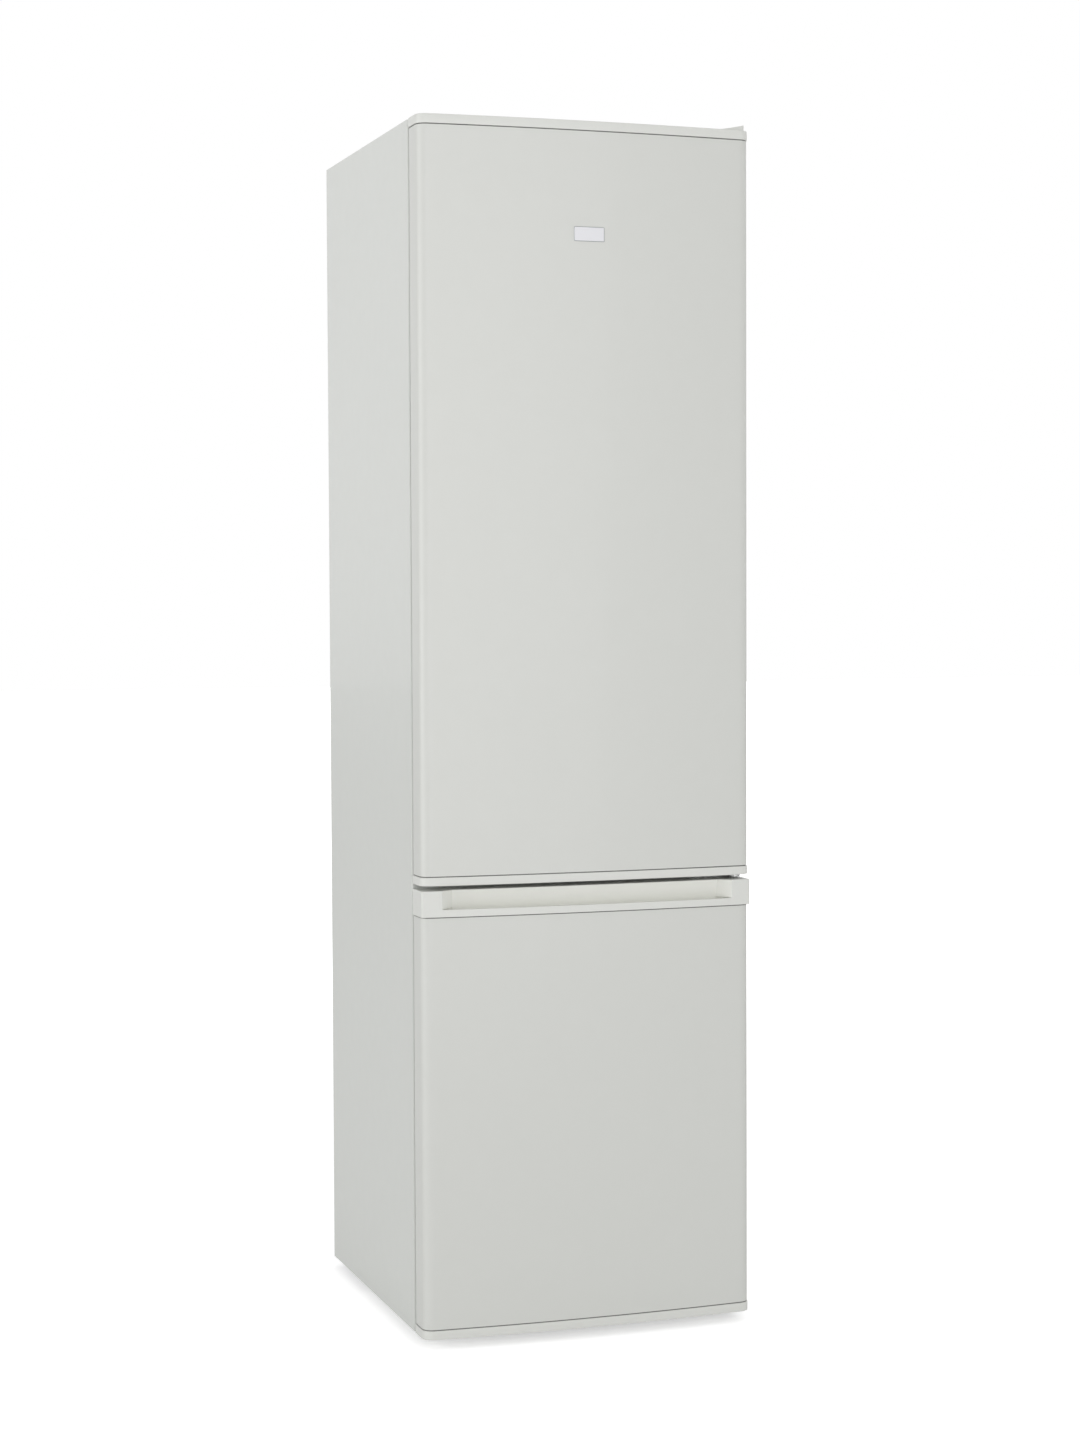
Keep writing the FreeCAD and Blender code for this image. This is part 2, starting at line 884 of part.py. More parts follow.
def inner_door(z, ridge, ridge_half, reach):
    """Vacuum-formed inner panel: a flat margin for the seal and a drafted ridge behind it."""
    plate = block((-panel_half, panel_half), (door_rear, inner_panel_rear), z)

    def frame(inset):
        foot = rectangle_y(ridge_half - inset, ridge[0] + inset, ridge[1] - inset, door_rear)
        way = 1 if inset else -1
        inset -= way * ridge_draft
        crest = rectangle_y(ridge_half - inset, ridge[0] + inset, ridge[1] - inset, reach)
        return stacked([foot, crest])

    solid = frame(0).cut(frame(ridge_wall_width))
    return join([plate, solid]).cut(ridge_core(ridge, ridge_half, reach))


def rectangle_y(half, low, high, y):
    """Corners of an upright rectangle in a plane of constant y."""
    return [V(-half, y, low), V(half, y, low), V(half, y, high), V(-half, y, high)]


def ridge_core(ridge, ridge_half, reach):
    """The insulation inside the ridge."""
    skin = liner_sheet + ridge_draft
    outer = (ridge_half - skin, ridge[0] + skin, ridge[1] - skin)
    wide = ridge_wall_width - skin
    inner = (ridge_half - wide, ridge[0] + wide, ridge[1] - wide)
    return framed(outer, inner, (door_rear, reach - liner_sheet))


def seal(bottom, top):
    """Door seal: a frame of soft profile with a bellows groove round its outer and inner sides."""
    outer = (seal_half, bottom, top)
    inner = (seal_half - seal_width, bottom + seal_width, top - seal_width)
    solid = framed(outer, inner, (inner_panel_rear, -seat_gap))
    middle = (inner_panel_rear - seat_gap) / 2
    groove = (middle - seal_groove_depth / 2, middle + seal_groove_depth / 2)
    cut = seal_groove_width / 2
    wide = framed(
        (outer[0] + overrun, outer[1] - overrun, outer[2] + overrun),
        (outer[0] - cut, outer[1] + cut, outer[2] - cut),
        groove,
    )
    narrow = framed(
        (inner[0] + cut, inner[1] - cut, inner[2] + cut),
        (inner[0] - overrun, inner[1] + overrun, inner[2] - overrun),
        groove,
    )
    return solid.cut(wide).cut(narrow)


def door_foam(z, neighbours, core):
    """Insulation between a door's sheet, its end mouldings and its inner panel."""
    solid = door_prism(-sheet, door_rear, z)
    return join([trim_by(solid, neighbours), core])


def name_plate():
    """Small bare plate that follows the bow of the upper door."""
    top = cabinet_height - plate_below_top + plate_height / 2
    z = (top - plate_height, top)
    shell = door_prism(plate_thickness, door_rear, z).cut(door_prism(0, door_rear + overrun, z))
    front = (corner_plane - 2 * door_bow, corner_plane)
    cutter = block((-plate_width / 2, plate_width / 2), front, z)
    cutter = bevel_edges(cutter, plate_corner_radius, lambda edge: runs_along(edge, V(0, 1, 0)))
    return shell.common(cutter)


# Door bins


def bin_base(share):
    """Height of a bin's underside at a share of the compartment's height."""
    return fridge_floor + share * (fridge_top - fridge_floor)


def bin_lug(share, ridge_half):
    """The lug on the right ridge wall that a bin hooks onto."""
    wall = ridge_half - ridge_wall_width
    top = bin_base(share) + lug_above_bin + lug_height
    y = (lug_setback, lug_setback + lug_width)
    return block((wall - lug_reach, wall + ridge_draft), y, (top - lug_height, top))


def arc_points(centre, radius, start, end, flats):
    """Corners of a level arc drawn with a few flats."""
    points = []
    for step in range(flats + 1):
        angle = start + (end - start) * step / flats
        points.append(centre + V(radius * math.cos(angle), radius * math.sin(angle), 0))
    return points


def door_bin(share, height, reach, ridge_half):
    """Open tray with a bowed front rail and a hook at each end that drops over a lug."""
    half = ridge_half - ridge_wall_width - bin_side_gap
    base = bin_base(share)
    rear = inner_panel_rear + bin_panel_gap

    def outline(inset, z):
        side = half - inset
        corner = bin_corner_radius - inset
        turn = side - corner
        far = reach - inset
        radius = (turn**2 + bin_rail_bow**2) / (2 * bin_rail_bow)
        swing = math.asin(turn / radius)
        quarter = math.pi / 2
        right = arc_points(V(turn, far - corner, z), corner, 0, quarter, corner_steps)
        middle = V(0, far + bin_rail_bow - radius, z)
        rail = arc_points(middle, radius, quarter - swing, quarter + swing, bow_steps)
        left = [V(-point.x, point.y, z) for point in reversed(right)]
        return [V(side, rear + inset, z)] + right + rail[1:-1] + left + [V(-side, rear + inset, z)]

    tray = stacked([outline(0, base), outline(0, base + height)])
    hollow = stacked([outline(bin_wall, base + bin_wall), outline(bin_wall, base + height + overrun)])
    solid = tray.cut(hollow)
    low = base + lug_above_bin
    middle_y = lug_setback + lug_width / 2
    pad = block(
        (half, half + hook_thickness),
        (middle_y - hook_width / 2, middle_y + hook_width / 2),
        (low, min(low + hook_height, base + height)),
    )
    slot = block(
        (half, half + hook_thickness + overrun),
        (lug_setback - bin_clear, lug_setback + lug_width + bin_clear),
        (low - overrun, base + lug_above_bin + lug_height + bin_clear),
    )
    hooks = both_sides(pad.cut(slot))
    return join([solid] + hooks)


# Shelves and drawers


def shelf_glass(half, y, bottom):
    return block((-half, half), y, (bottom, bottom + glass))


def shelf_trim(half, front, back, bottom):
    """Front and rear plastic trims that grip a glass shelf."""
    low = bottom - trim_lip
    slot = shelf_glass(half, (front, back), bottom)
    nose = block((-half, half), (front - trim_lip, front - trim_lip + trim_depth), (low, low + trim_height))
    nose = bevel_edges(nose, trim_lip / 2, lambda edge: edge.BoundBox.YMax < front)
    tail = block((-half, half), (back - trim_depth, back + trim_lip), (bottom, low + rear_trim_height))
    return [nose.cut(slot), tail.cut(slot)]


def open_box(half, y, z, taper, front_wall):
    """A drawer's tub: its walls lean outwards to the top."""

    def rectangle(inset, front_inset, level):
        reach = half - inset
        start = y[0] + front_inset
        far = y[1] - inset
        return [V(-reach, start, level), V(reach, start, level), V(reach, far, level), V(-reach, far, level)]

    outer = stacked([rectangle(taper, 0, z[0]), rectangle(0, 0, z[1])])
    rise = box_wall / (z[1] - z[0])
    inner = stacked(
        [
            rectangle(taper * (1 - rise) + box_wall, front_wall, z[0] + box_wall),
            rectangle(box_wall - taper * rise, front_wall, z[1] + box_wall),
        ]
    )
    return outer.cut(inner)


def drawer_grip(half, front, top):
    """Finger slot along the upper part of a drawer's front."""
    reach = half * grip_width_share
    low = top - grip_below_top - grip_height
    points = [
        (front - overrun, low),
        (front, low),
        (front + grip_depth, low + grip_height / 2),
        (front + grip_depth, low + grip_height),
        (front - overrun, low + grip_height),
    ]
    return profile_x(points, (-reach, reach))


def crisper_drawer():
    half = fridge_half - crisper_side_gap
    front = shelf_setback + crisper_front_gap
    base = fridge_floor + seat_gap
    tub = open_box(
        half,
        (front, cavity_back - crisper_rear_gap),
        (base, base + crisper_height),
        crisper_taper,
        crisper_front_wall,
    )
    return tub.cut(drawer_grip(half, front, base + crisper_height))


def freezer_drawer(bottom, top, back):
    half = freezer_half - drawer_side_gap
    tub = open_box(half, (drawer_setback, back), (bottom, top), drawer_taper, drawer_front_thickness)
    return tub.cut(drawer_grip(half, drawer_setback, top))


# Control housing


def control_housing():
    """Box under the ceiling with a window for the lamp and a bore for the dial."""
    half = housing_width / 2
    z = (fridge_top - housing_height, fridge_top)
    y = (housing_setback, housing_setback + housing_depth)
    outer = block((-half, half), y, z)
    outer = bevel_edges(outer, housing_bevel, lambda edge: edge.BoundBox.ZMax < z[0] + near)
    inner = block(
        (-half + housing_bevel, half - housing_bevel),
        (y[0] + housing_wall, y[1] - housing_bevel),
        (z[0] + housing_wall, z[1] - housing_wall),
    )
    middle = (z[0] + z[1]) / 2
    window = block(
        (lamp_window_offset - lamp_window_width / 2, lamp_window_offset + lamp_window_width / 2),
        (y[0] - overrun, y[0] + housing_wall),
        (middle - lamp_window_height / 2, middle + lamp_window_height / 2),
    )
    radius = dial_shaft_radius + pin_clearance
    start = V(dial_offset, y[0] - overrun, middle)
    bore = bar(start, V(dial_offset, y[0] + housing_wall, middle), radius, round_sides)
    return outer.cut(inner).cut(window).cut(bore)


def lamp_cover():
    """Translucent window, seated in the housing and flanged inside it."""
    z = fridge_top - housing_height / 2
    window = (lamp_window_width / 2, z - lamp_window_height / 2, z + lamp_window_height / 2)
    back = housing_setback + housing_wall
    face = block((-window[0], window[0]), (housing_setback, back), (window[1], window[2]))
    half = window[0] + lamp_cover_sheet
    rim = (window[1] - lamp_cover_sheet, window[2] + lamp_cover_sheet)
    flange = block((-half, half), (back, back + lamp_cover_sheet), rim)
    solid = join([face, flange])
    hollow = block(
        (-window[0] + lamp_cover_sheet, window[0] - lamp_cover_sheet),
        (housing_setback + lamp_cover_sheet, back + overrun),
        (window[1] + lamp_cover_sheet, window[2] - lamp_cover_sheet),
    )
    solid = solid.cut(hollow)
    solid.translate(V(lamp_window_offset, 0, 0))
    return solid


def lamp():
    """Tubular bulb in its socket, which stands on the housing's rear wall."""
    z = fridge_top - housing_height / 2
    back = housing_setback + housing_depth - housing_bevel
    socket_end = back - lamp_socket_length
    centre = V(lamp_window_offset, back, z)
    neck = V(lamp_window_offset, socket_end, z)
    socket = bar(centre, neck, lamp_socket_radius, round_sides)
    tip = socket_end - lamp_length
    bulb = bar(neck, V(lamp_window_offset, tip, z), lamp_radius, round_sides)
    bulb = bevel_edges(bulb, lamp_radius / 2, lambda edge: edge.BoundBox.YMax < tip + near)
    return join([socket, bulb])


def thermostat_dial():
    """Round knob with a grip bar, on a shaft through the housing's front."""
    z = fridge_top - housing_height / 2
    rear = housing_setback - seat_gap
    front = rear - dial_thickness
    disc = bar(V(dial_offset, rear, z), V(dial_offset, front, z), dial_radius, dial_sides)
    disc = bevel_edges(disc, dial_grip_height / 4, lambda edge: edge.BoundBox.YMax < front + near)
    grip = block(
        (dial_offset - dial_grip_width / 2, dial_offset + dial_grip_width / 2),
        (front - dial_grip_height, front),
        (z - dial_radius * dial_grip_share, z + dial_radius * dial_grip_share),
    )
    shaft = rod(V(dial_offset, rear, z), V(dial_offset, rear + dial_shaft_length, z), dial_shaft_radius)
    return join([disc, grip, shaft])


# Hinges


def stepped_bracket(face, way):
    """Hinge plate on the cabinet's top or under its base, stepped over the door, with its pin."""
    rear = [face, face + way * hinge_plate]
    front = [face + way * hinge_step, face + way * (hinge_step + hinge_plate)]
    bend = 2 * hinge_step
    outline = [
        (hinge_reach, rear[0]),
        (0, rear[0]),
        (-bend, front[0]),
        (pin_y, front[0]),
        (pin_y, front[1]),
        (-bend, front[1]),
        (0, rear[1]),
        (hinge_reach, rear[1]),
    ]
    left = pin_x - hinge_arm_width + hinge_end_radius
    arm = profile_x(outline, (left, pin_x + hinge_end_radius))
    nose = bar(V(pin_x, pin_y, front[0]), V(pin_x, pin_y, front[1]), hinge_end_radius, round_sides)
    foot = V(pin_x, pin_y, face + way * seat_gap)
    collar = bar(V(pin_x, pin_y, front[0]), foot, collar_radius, round_sides)
    pin = rod(V(pin_x, pin_y, front[0]), V(pin_x, pin_y, face - way * pin_length), pin_radius)
    return join([arm, nose, collar, pin])


def screw_places():
    """Plan places of the screws through a stepped hinge bracket."""
    x = pin_x + hinge_end_radius - hinge_screw_inset
    return [(x, hinge_reach - hinge_screw_inset), (x, hinge_reach - hinge_screw_inset - screw_pitch)]


def screw(head, way):
    """Hexagonal screw whose head stands on a face; way points out of that face."""
    cap = bar(head, head + way * screw_head_height, screw_head_radius, hex_sides)
    return join([cap, bar(head, head - way * screw_length, screw_radius, hex_sides)])


def middle_hinge():
    """Plate between the doors with a pin each way, welded to a flange on the centre rail."""
    z = (gap_middle - hinge_plate / 2, gap_middle + hinge_plate / 2)
    arm = block((pin_x - hinge_end_radius, pin_x + hinge_end_radius), (pin_y, -hinge_plate), z)
    nose = bar(V(pin_x, pin_y, z[0]), V(pin_x, pin_y, z[1]), hinge_end_radius, round_sides)
    right = pin_x + hinge_end_radius - sheet
    flange = block(
        (right - middle_flange_width, right),
        (-hinge_plate, 0),
        (gap_middle - middle_flange_height / 2, gap_middle + middle_flange_height / 2),
    )
    flange = bevel_edges(flange, hinge_plate, lambda edge: runs_along(edge, V(0, 1, 0)))
    up = rod(V(pin_x, pin_y, z[1]), V(pin_x, pin_y, upper_door_bottom + pin_length), pin_radius)
    down = rod(V(pin_x, pin_y, z[0]), V(pin_x, pin_y, lower_door_height - pin_length), pin_radius)
    collar = bar(
        V(pin_x, pin_y, lower_door_height + seat_gap),
        V(pin_x, pin_y, upper_door_bottom - seat_gap),
        collar_radius,
        round_sides,
    )
    return join([arm, nose, flange, up, down, collar])


def middle_screw_places():
    left = pin_x + hinge_end_radius - sheet - middle_flange_width
    first = left + hinge_screw_inset - screw_head_radius
    return [first, first + screw_pitch]


def top_hinge_cover():
    """Moulded cover over the top hinge: a curved ramp that climbs to its square outer end."""
    right = half_width - cover_end_inset
    left = right - cover_width
    low = cabinet_height + seat_gap
    high = cabinet_height + cover_height

    def shell(inset):
        near = V(left + inset, 0, low - (overrun if inset else 0))
        start = V(left + inset, 0, cabinet_height + cover_low_height - inset)
        end = V(right - inset, 0, high - inset)
        belly = V((start.x + end.x) / 2, 0, (start.z + end.z) / 2 - cover_low_height / 2)
        corner = V(right - inset, 0, near.z)
        edges = [
            Part.makeLine(near, start),
            Part.Arc(start, belly, end).toShape(),
            Part.makeLine(end, corner),
            Part.makeLine(corner, near),
        ]
        face = Part.Face(Part.Wire(edges))
        face.translate(V(0, -cover_front_reach + inset, 0))
        return face.extrude(V(0, cover_length - 2 * inset, 0))

    return shell(0).cut(shell(cover_wall))


# Condenser


def condenser_lane():
    """The y value of the condenser tube's middle."""
    return cabinet_depth + condenser_reach - wire_thickness - condenser_tube / 2


def condenser_half():
    return half_width - condenser_inset


def run_height(index):
    return condenser_base + index * condenser_pitch


def condenser_coil():
    """Serpentine tube: level runs joined by half-round bends, made as one unbroken solid."""
    lane = condenser_lane()
    half = condenser_half()
    end = half + condenser_pitch / 2
    points = [V(half, lane, run_height(0))]
    for index in range(condenser_runs - 1):
        side = 1 if index % 2 else -1
        points.append(V(side * end, lane, run_height(index)))
        points.append(V(side * end, lane, run_height(index + 1)))
    points.append(V(-half, lane, run_height(condenser_runs - 1)))
    return pipe(points, condenser_tube / 2, condenser_pitch / 2)


def condenser_wires():
    """Upright wires welded to both faces of the serpentine."""
    lane = condenser_lane()
    reach = condenser_half() - wire_thickness
    low = run_height(0) - wire_overhang
    high = run_height(condenser_runs - 1) + wire_overhang
    away = condenser_tube / 2 + wire_thickness / 2
    wires = []
    for index in range(wires_per_side):
        x = -reach + 2 * reach * index / (wires_per_side - 1)
        for side in (-1, 1):
            centre = V(x, lane + side * away, low)
            section = ring_points(centre, wire_thickness, wire_sides, V(0, 1, 0), V(1, 0, 0))
            wires.append(polygon(section).extrude(V(0, 0, high - low)))
    return Part.Compound(wires)


def condenser_clips():
    """Plastic clips that hold the tube off the back panel, between two wires."""
    lane = condenser_lane()
    reach = condenser_half() - wire_thickness
    pitch = 2 * reach / (wires_per_side - 1)
    bay = round(clip_bay_share * (wires_per_side - 1))
    x = -reach + (bay + 0.5) * pitch
    grip = condenser_tube / 2 / math.cos(math.pi / tube_sides) + contact_gap
    clips = []
    for share in clip_run_shares:
        z = run_height(round(share * (condenser_runs - 1)))
        body = block(
            (x - clip_width / 2, x + clip_width / 2),
            (cabinet_depth, lane + condenser_tube / 2 + wire_thickness),
            (z - clip_height / 2, z + clip_height / 2),
        )
        slot = block(
            (x - clip_width, x + clip_width),
            (lane - condenser_tube / 2 - contact_gap, lane + condenser_reach),
            (z - grip, z + grip),
        )
        clips += both_sides(body.cut(slot))
    return Part.Compound(clips)


# Compressor and pipes


def compressor_middle():
    return (bay_front + cabinet_depth) / 2


def mount_height():
    return tray_sheet + grommet_height


def oval(z, grow):
    """Corners of the compressor's oval outline at a height, grown outwards by a margin."""
    radius = compressor_width / 2 + grow
    straight = (compressor_length - compressor_width) / 2
    points = []
    for side in (1, -1):
        for step in range(oval_steps + 1):
            angle = math.pi * (step / oval_steps - 0.5)
            x = compressor_offset + side * (straight + radius * math.cos(angle))
            points.append(V(x, compressor_middle() + side * radius * math.sin(angle), z))
    return points


def compressor_shell():
    """Hermetic shell: a domed top and a rounded base of stacked ovals, the weld seam and three pipe stubs."""
    base = mount_height() + mount_plate
    top = base + compressor_height
    outlines = []
    for step in range(low_dome_steps):
        angle = math.pi / 2 * step / low_dome_steps
        inset = compressor_low_radius * (1 - math.sin(angle))
        outlines.append(oval(base + compressor_low_radius * (1 - math.cos(angle)), -inset))
    outlines.append(oval(base + compressor_low_radius, 0))
    for step in range(top_dome_steps + 1):
        angle = math.pi / 2 * step / top_dome_steps
        inset = compressor_top_radius * (1 - math.cos(angle))
        outlines.append(oval(top - compressor_top_radius * (1 - math.sin(angle)), -inset))
    seam = base + compressor_height * stub_height_share
    band = stacked([oval(seam, seam_flange), oval(seam + seam_thickness, seam_flange)])
    stubs = []
    for place in stub_places():
        root = V(place.x, place.y - compressor_width / 4, place.z)
        stubs.append(bar(root, place, stub_radius, tube_sides))
    return join([stacked(outlines), band] + stubs)


def stub_places():
    """Outer ends of the pipe stubs: discharge, suction and the sealed service stub."""
    base = mount_height() + mount_plate
    y = compressor_middle() + compressor_width / 2 + stub_length / 2
    z = base + compressor_height * stub_height_share / 2
    third = compressor_length / 6
    return [V(compressor_offset + way * third, y, z) for way in (-1, 0, 1)]


def mount_places():
    y = compressor_middle()
    return [
        (compressor_offset + side * mount_spread / 2, y + way * mount_span / 2)
        for side in (-1, 1)
        for way in (-1, 1)
    ]


def mounting_plate():
    """Plate under the shell with a round ear at each corner for its grommet."""
    z = (mount_height(), mount_height() + mount_plate)
    y = compressor_middle()
    half = mount_spread / 2
    span = mount_span / 2
    body = block((compressor_offset - half, compressor_offset + half), (y - span, y + span), z)
    ears = [bar(V(px, py, z[0]), V(px, py, z[1]), mount_ear_radius, round_sides) for px, py in mount_places()]
    solid = join([body] + ears)
    for px, py in mount_places():
        hole = bar(V(px, py, z[0] - overrun), V(px, py, z[1] + overrun), grommet_neck_radius, hex_sides)
        solid = solid.cut(hole)
    return solid


def grommets():
    """Rubber grommets under and through the mounting plate."""
    low = tray_sheet
    high = mount_height()
    solids = []
    for px, py in mount_places():
        foot = bar(V(px, py, low), V(px, py, high), grommet_radius, grommet_sides)
        neck = bar(V(px, py, low), V(px, py, high + mount_plate), grommet_neck_radius, hex_sides)
        rim = high + mount_plate
        cap = bar(V(px, py, rim), V(px, py, rim + grommet_cap), grommet_cap_radius, grommet_sides)
        bore = bar(V(px, py, low - overrun), V(px, py, rim + 2 * grommet_cap), bolt_radius, hex_sides)
        solids.append(join([foot, neck, cap]).cut(bore))
    return Part.Compound(solids)


def relay_cover(shell):
    """Terminal box on the end of the compressor."""
    x = compressor_offset + compressor_length / 2 - relay_sink
    y = compressor_middle()
    base = mount_height() + mount_plate
    z = base + compressor_low_radius
    solid = block((x, x + relay_depth), (y - relay_length / 2, y + relay_length / 2), (z, z + relay_height))
    solid = bevel_edges(solid, relay_bevel, lambda edge: edge.BoundBox.XMin > x + relay_depth - near)
    return max(solid.cut(shell).Solids, key=lambda piece: piece.Volume)


def evaporation_dish():
    """Open dish on the compressor's top, where the melt water dries off."""
    base = mount_height() + mount_plate + compressor_height
    y = compressor_middle()

    def rectangle(inset, level):
        x = dish_length / 2 - inset
        depth = dish_width / 2 - inset
        return [
            V(compressor_offset - x, y - depth, level),
            V(compressor_offset + x, y - depth, level),
            V(compressor_offset + x, y + depth, level),
            V(compressor_offset - x, y + depth, level),
        ]

    def tub(inset, low):
        return stacked([rectangle(dish_taper + inset, low), rectangle(inset, low + dish_height)])

    return tub(0, base).cut(tub(dish_wall, base + dish_wall))


def drier_lane():
    """The y value of the drier's middle: its side lies in the condenser's rear plane."""
    return cabinet_depth + condenser_reach - drier_radius / math.cos(math.pi / round_sides)


def filter_drier():
    """Copper drier upright at the side of the bay, drawn in at both ends."""
    low = drier_bottom()
    high = low + drier_length
    rim = pipe_radius + contact_gap
    levels = [(low, rim), (low + drier_taper, drier_radius), (high - drier_taper, drier_radius), (high, rim)]
    sections = []
    for level, radius in levels:
        centre = V(drier_offset, drier_lane(), level)
        sections.append(ring_points(centre, 2 * radius, round_sides, V(1, 0, 0), V(0, 1, 0)))
    return stacked(sections)


def refrigerant_pipes():
    """Discharge riser, condenser outlet, capillary and suction pipe."""
    lane = condenser_lane()
    inner_lane = (cabinet_depth + lane - condenser_tube / 2 - wire_thickness) / 2
    edge = condenser_half() + condenser_pitch / 4
    high = run_height(condenser_runs - 1)
    low = run_height(0)
    discharge = stub_places()[0]
    suction = stub_places()[-1]
    joint = V(discharge.x - 2 * pipe_bend, inner_lane, discharge.z)
    outflow = [discharge, V(discharge.x, inner_lane, discharge.z), joint]
    riser = [
        joint,
        V(-edge, inner_lane, discharge.z),
        V(-edge, inner_lane, high - condenser_pitch / 2),
        V(-edge, lane, high),
        V(-condenser_half(), lane, high),
    ]
    drier_low = drier_bottom()
    turn = drier_low + drier_length + 3 * pipe_bend
    outlet = [
        V(condenser_half(), lane, low),
        V(edge, lane, low),
        V(edge, lane, turn),
        V(drier_offset, drier_lane(), turn),
        V(drier_offset, drier_lane(), drier_low + drier_length),
    ]
    under = drier_low - 2 * pipe_bend
    entry = cabinet_depth - pipe_lane
    ceiling = bay_height - sheet
    capillary = [
        V(drier_offset, drier_lane(), drier_low),
        V(drier_offset, drier_lane(), under),
        V(drier_offset, entry, under),
        V(drier_offset, entry, ceiling),
    ]
    back = suction.y + pipe_bend + pipe_lead
    return_line = [suction, V(suction.x, back, suction.z), V(suction.x, back, ceiling)]
    return Part.Compound(
        [
            pipe(outflow, pipe_radius, pipe_bend),
            pipe(riser, pipe_radius, pipe_bend),
            pipe(outlet, pipe_radius, pipe_bend),
            pipe(capillary, pipe_radius / 2, pipe_bend),
            pipe(return_line, pipe_radius, pipe_bend),
        ]
    )


def drier_bottom():
    return bay_height - tray_lip - drier_length - bay_slope


# Screws and bolts


def hinge_screws():
    """Screws of the top, middle and bottom hinges."""
    solids = []
    for x, y in screw_places():
        top = cabinet_height + hinge_plate
        solids.append(screw(V(x, y, top), V(0, 0, 1)))
        solids.append(screw(V(x, y, -hinge_plate), V(0, 0, -1)))
    for x in middle_screw_places():
        solids.append(screw(V(x, -hinge_plate, gap_middle), V(0, -1, 0)))
    return solids


def mount_bolts():
    """Studs and nuts that hold the compressor's grommets on the tray."""
    solids = []
    seat = mount_height() + mount_plate + grommet_cap
    for x, y in mount_places():
        stud = bar(V(x, y, tray_sheet), V(x, y, seat), bolt_radius, hex_sides)
        nut = bar(V(x, y, seat), V(x, y, seat + bolt_head_height), bolt_head_radius, hex_sides)
        solids.append(join([stud, nut]))
    return solids


# Feet and rollers


def foot_places():
    return [(side * (half_width - foot_inset), foot_setback) for side in (-1, 1)]


def levelling_foot(x, y):
    """Round pad with a rounded rim on a threaded stud, shown plain."""
    low = -floor_gap
    pad = bar(V(x, y, low), V(x, y, low + foot_height), foot_radius, foot_sides)
    pad = bevel_edges(pad, foot_rim_bevel, lambda edge: not runs_along(edge, V(0, 0, 1)))
    stud = bar(V(x, y, low + foot_height), V(x, y, low + stud_length), stud_radius, round_sides)
    return join([pad, stud])


def nut_blank(x, y):
    """Hexagon of a foot's nut, from the base panel's underside."""
    return bar(V(x, y, 0), V(x, y, nut_height), nut_radius, hex_sides)


def foot_nuts():
    """Hexagonal nuts set flush in the base panel."""
    solids = []
    for x, y in foot_places():
        reach = (V(x, y, -overrun), V(x, y, nut_height + overrun))
        bore = bar(*reach, stud_radius + stud_clearance, round_sides)
        solids.append(nut_blank(x, y).cut(bore))
    return solids


def stud_holes():
    """Free space for the studs and their nuts in the insulation."""
    top = stud_length - floor_gap + foot_height
    holes = []
    for x, y in foot_places():
        holes.append(bar(V(x, y, 0), V(x, y, top), stud_radius + seat_gap, hex_sides))
        holes.append(nut_blank(x, y))
    return holes


def roller_centre(side):
    return V(side * (half_width - roller_inset), cabinet_depth - roller_from_back, roller_radius - floor_gap)


def rear_roller(side):
    centre = roller_centre(side)
    half = V(roller_width / 2, 0, 0)
    wheel = bar(centre - half, centre + half, roller_radius, roller_sides)
    reach = half * 2
    bore_radius = roller_axle_radius / math.cos(math.pi / hex_sides) + pin_clearance
    return wheel.cut(rod(centre - reach, centre + reach, bore_radius))


def roller_fork(side):
    """Two ears under the tray with the roller's axle through them."""
    centre = roller_centre(side)
    inner = roller_width / 2 + seat_gap
    outer = inner + fork_sheet
    outline = [
        (centre.y - fork_half_length, 0),
        (centre.y + fork_half_length, 0),
        (centre.y + fork_drop, -fork_drop),
        (centre.y - fork_drop, -fork_drop),
    ]
    ears = [
        profile_x(outline, (centre.x + inner, centre.x + outer)),
        profile_x(outline, (centre.x - outer, centre.x - inner)),
    ]
    end = V(outer + axle_head, 0, 0)
    axle = bar(centre - end, centre + end, roller_axle_radius, hex_sides)
    return join(ears + [axle])


def roller_slot(side):
    """Cut-out in the tray over a roller."""
    centre = roller_centre(side)
    half = roller_width / 2 + seat_gap
    reach = roller_radius + cap_wall
    across = (centre.x - half, centre.x + half)
    return block(across, (centre.y - reach, centre.y + reach), (-overrun, overrun))


# The whole refrigerator


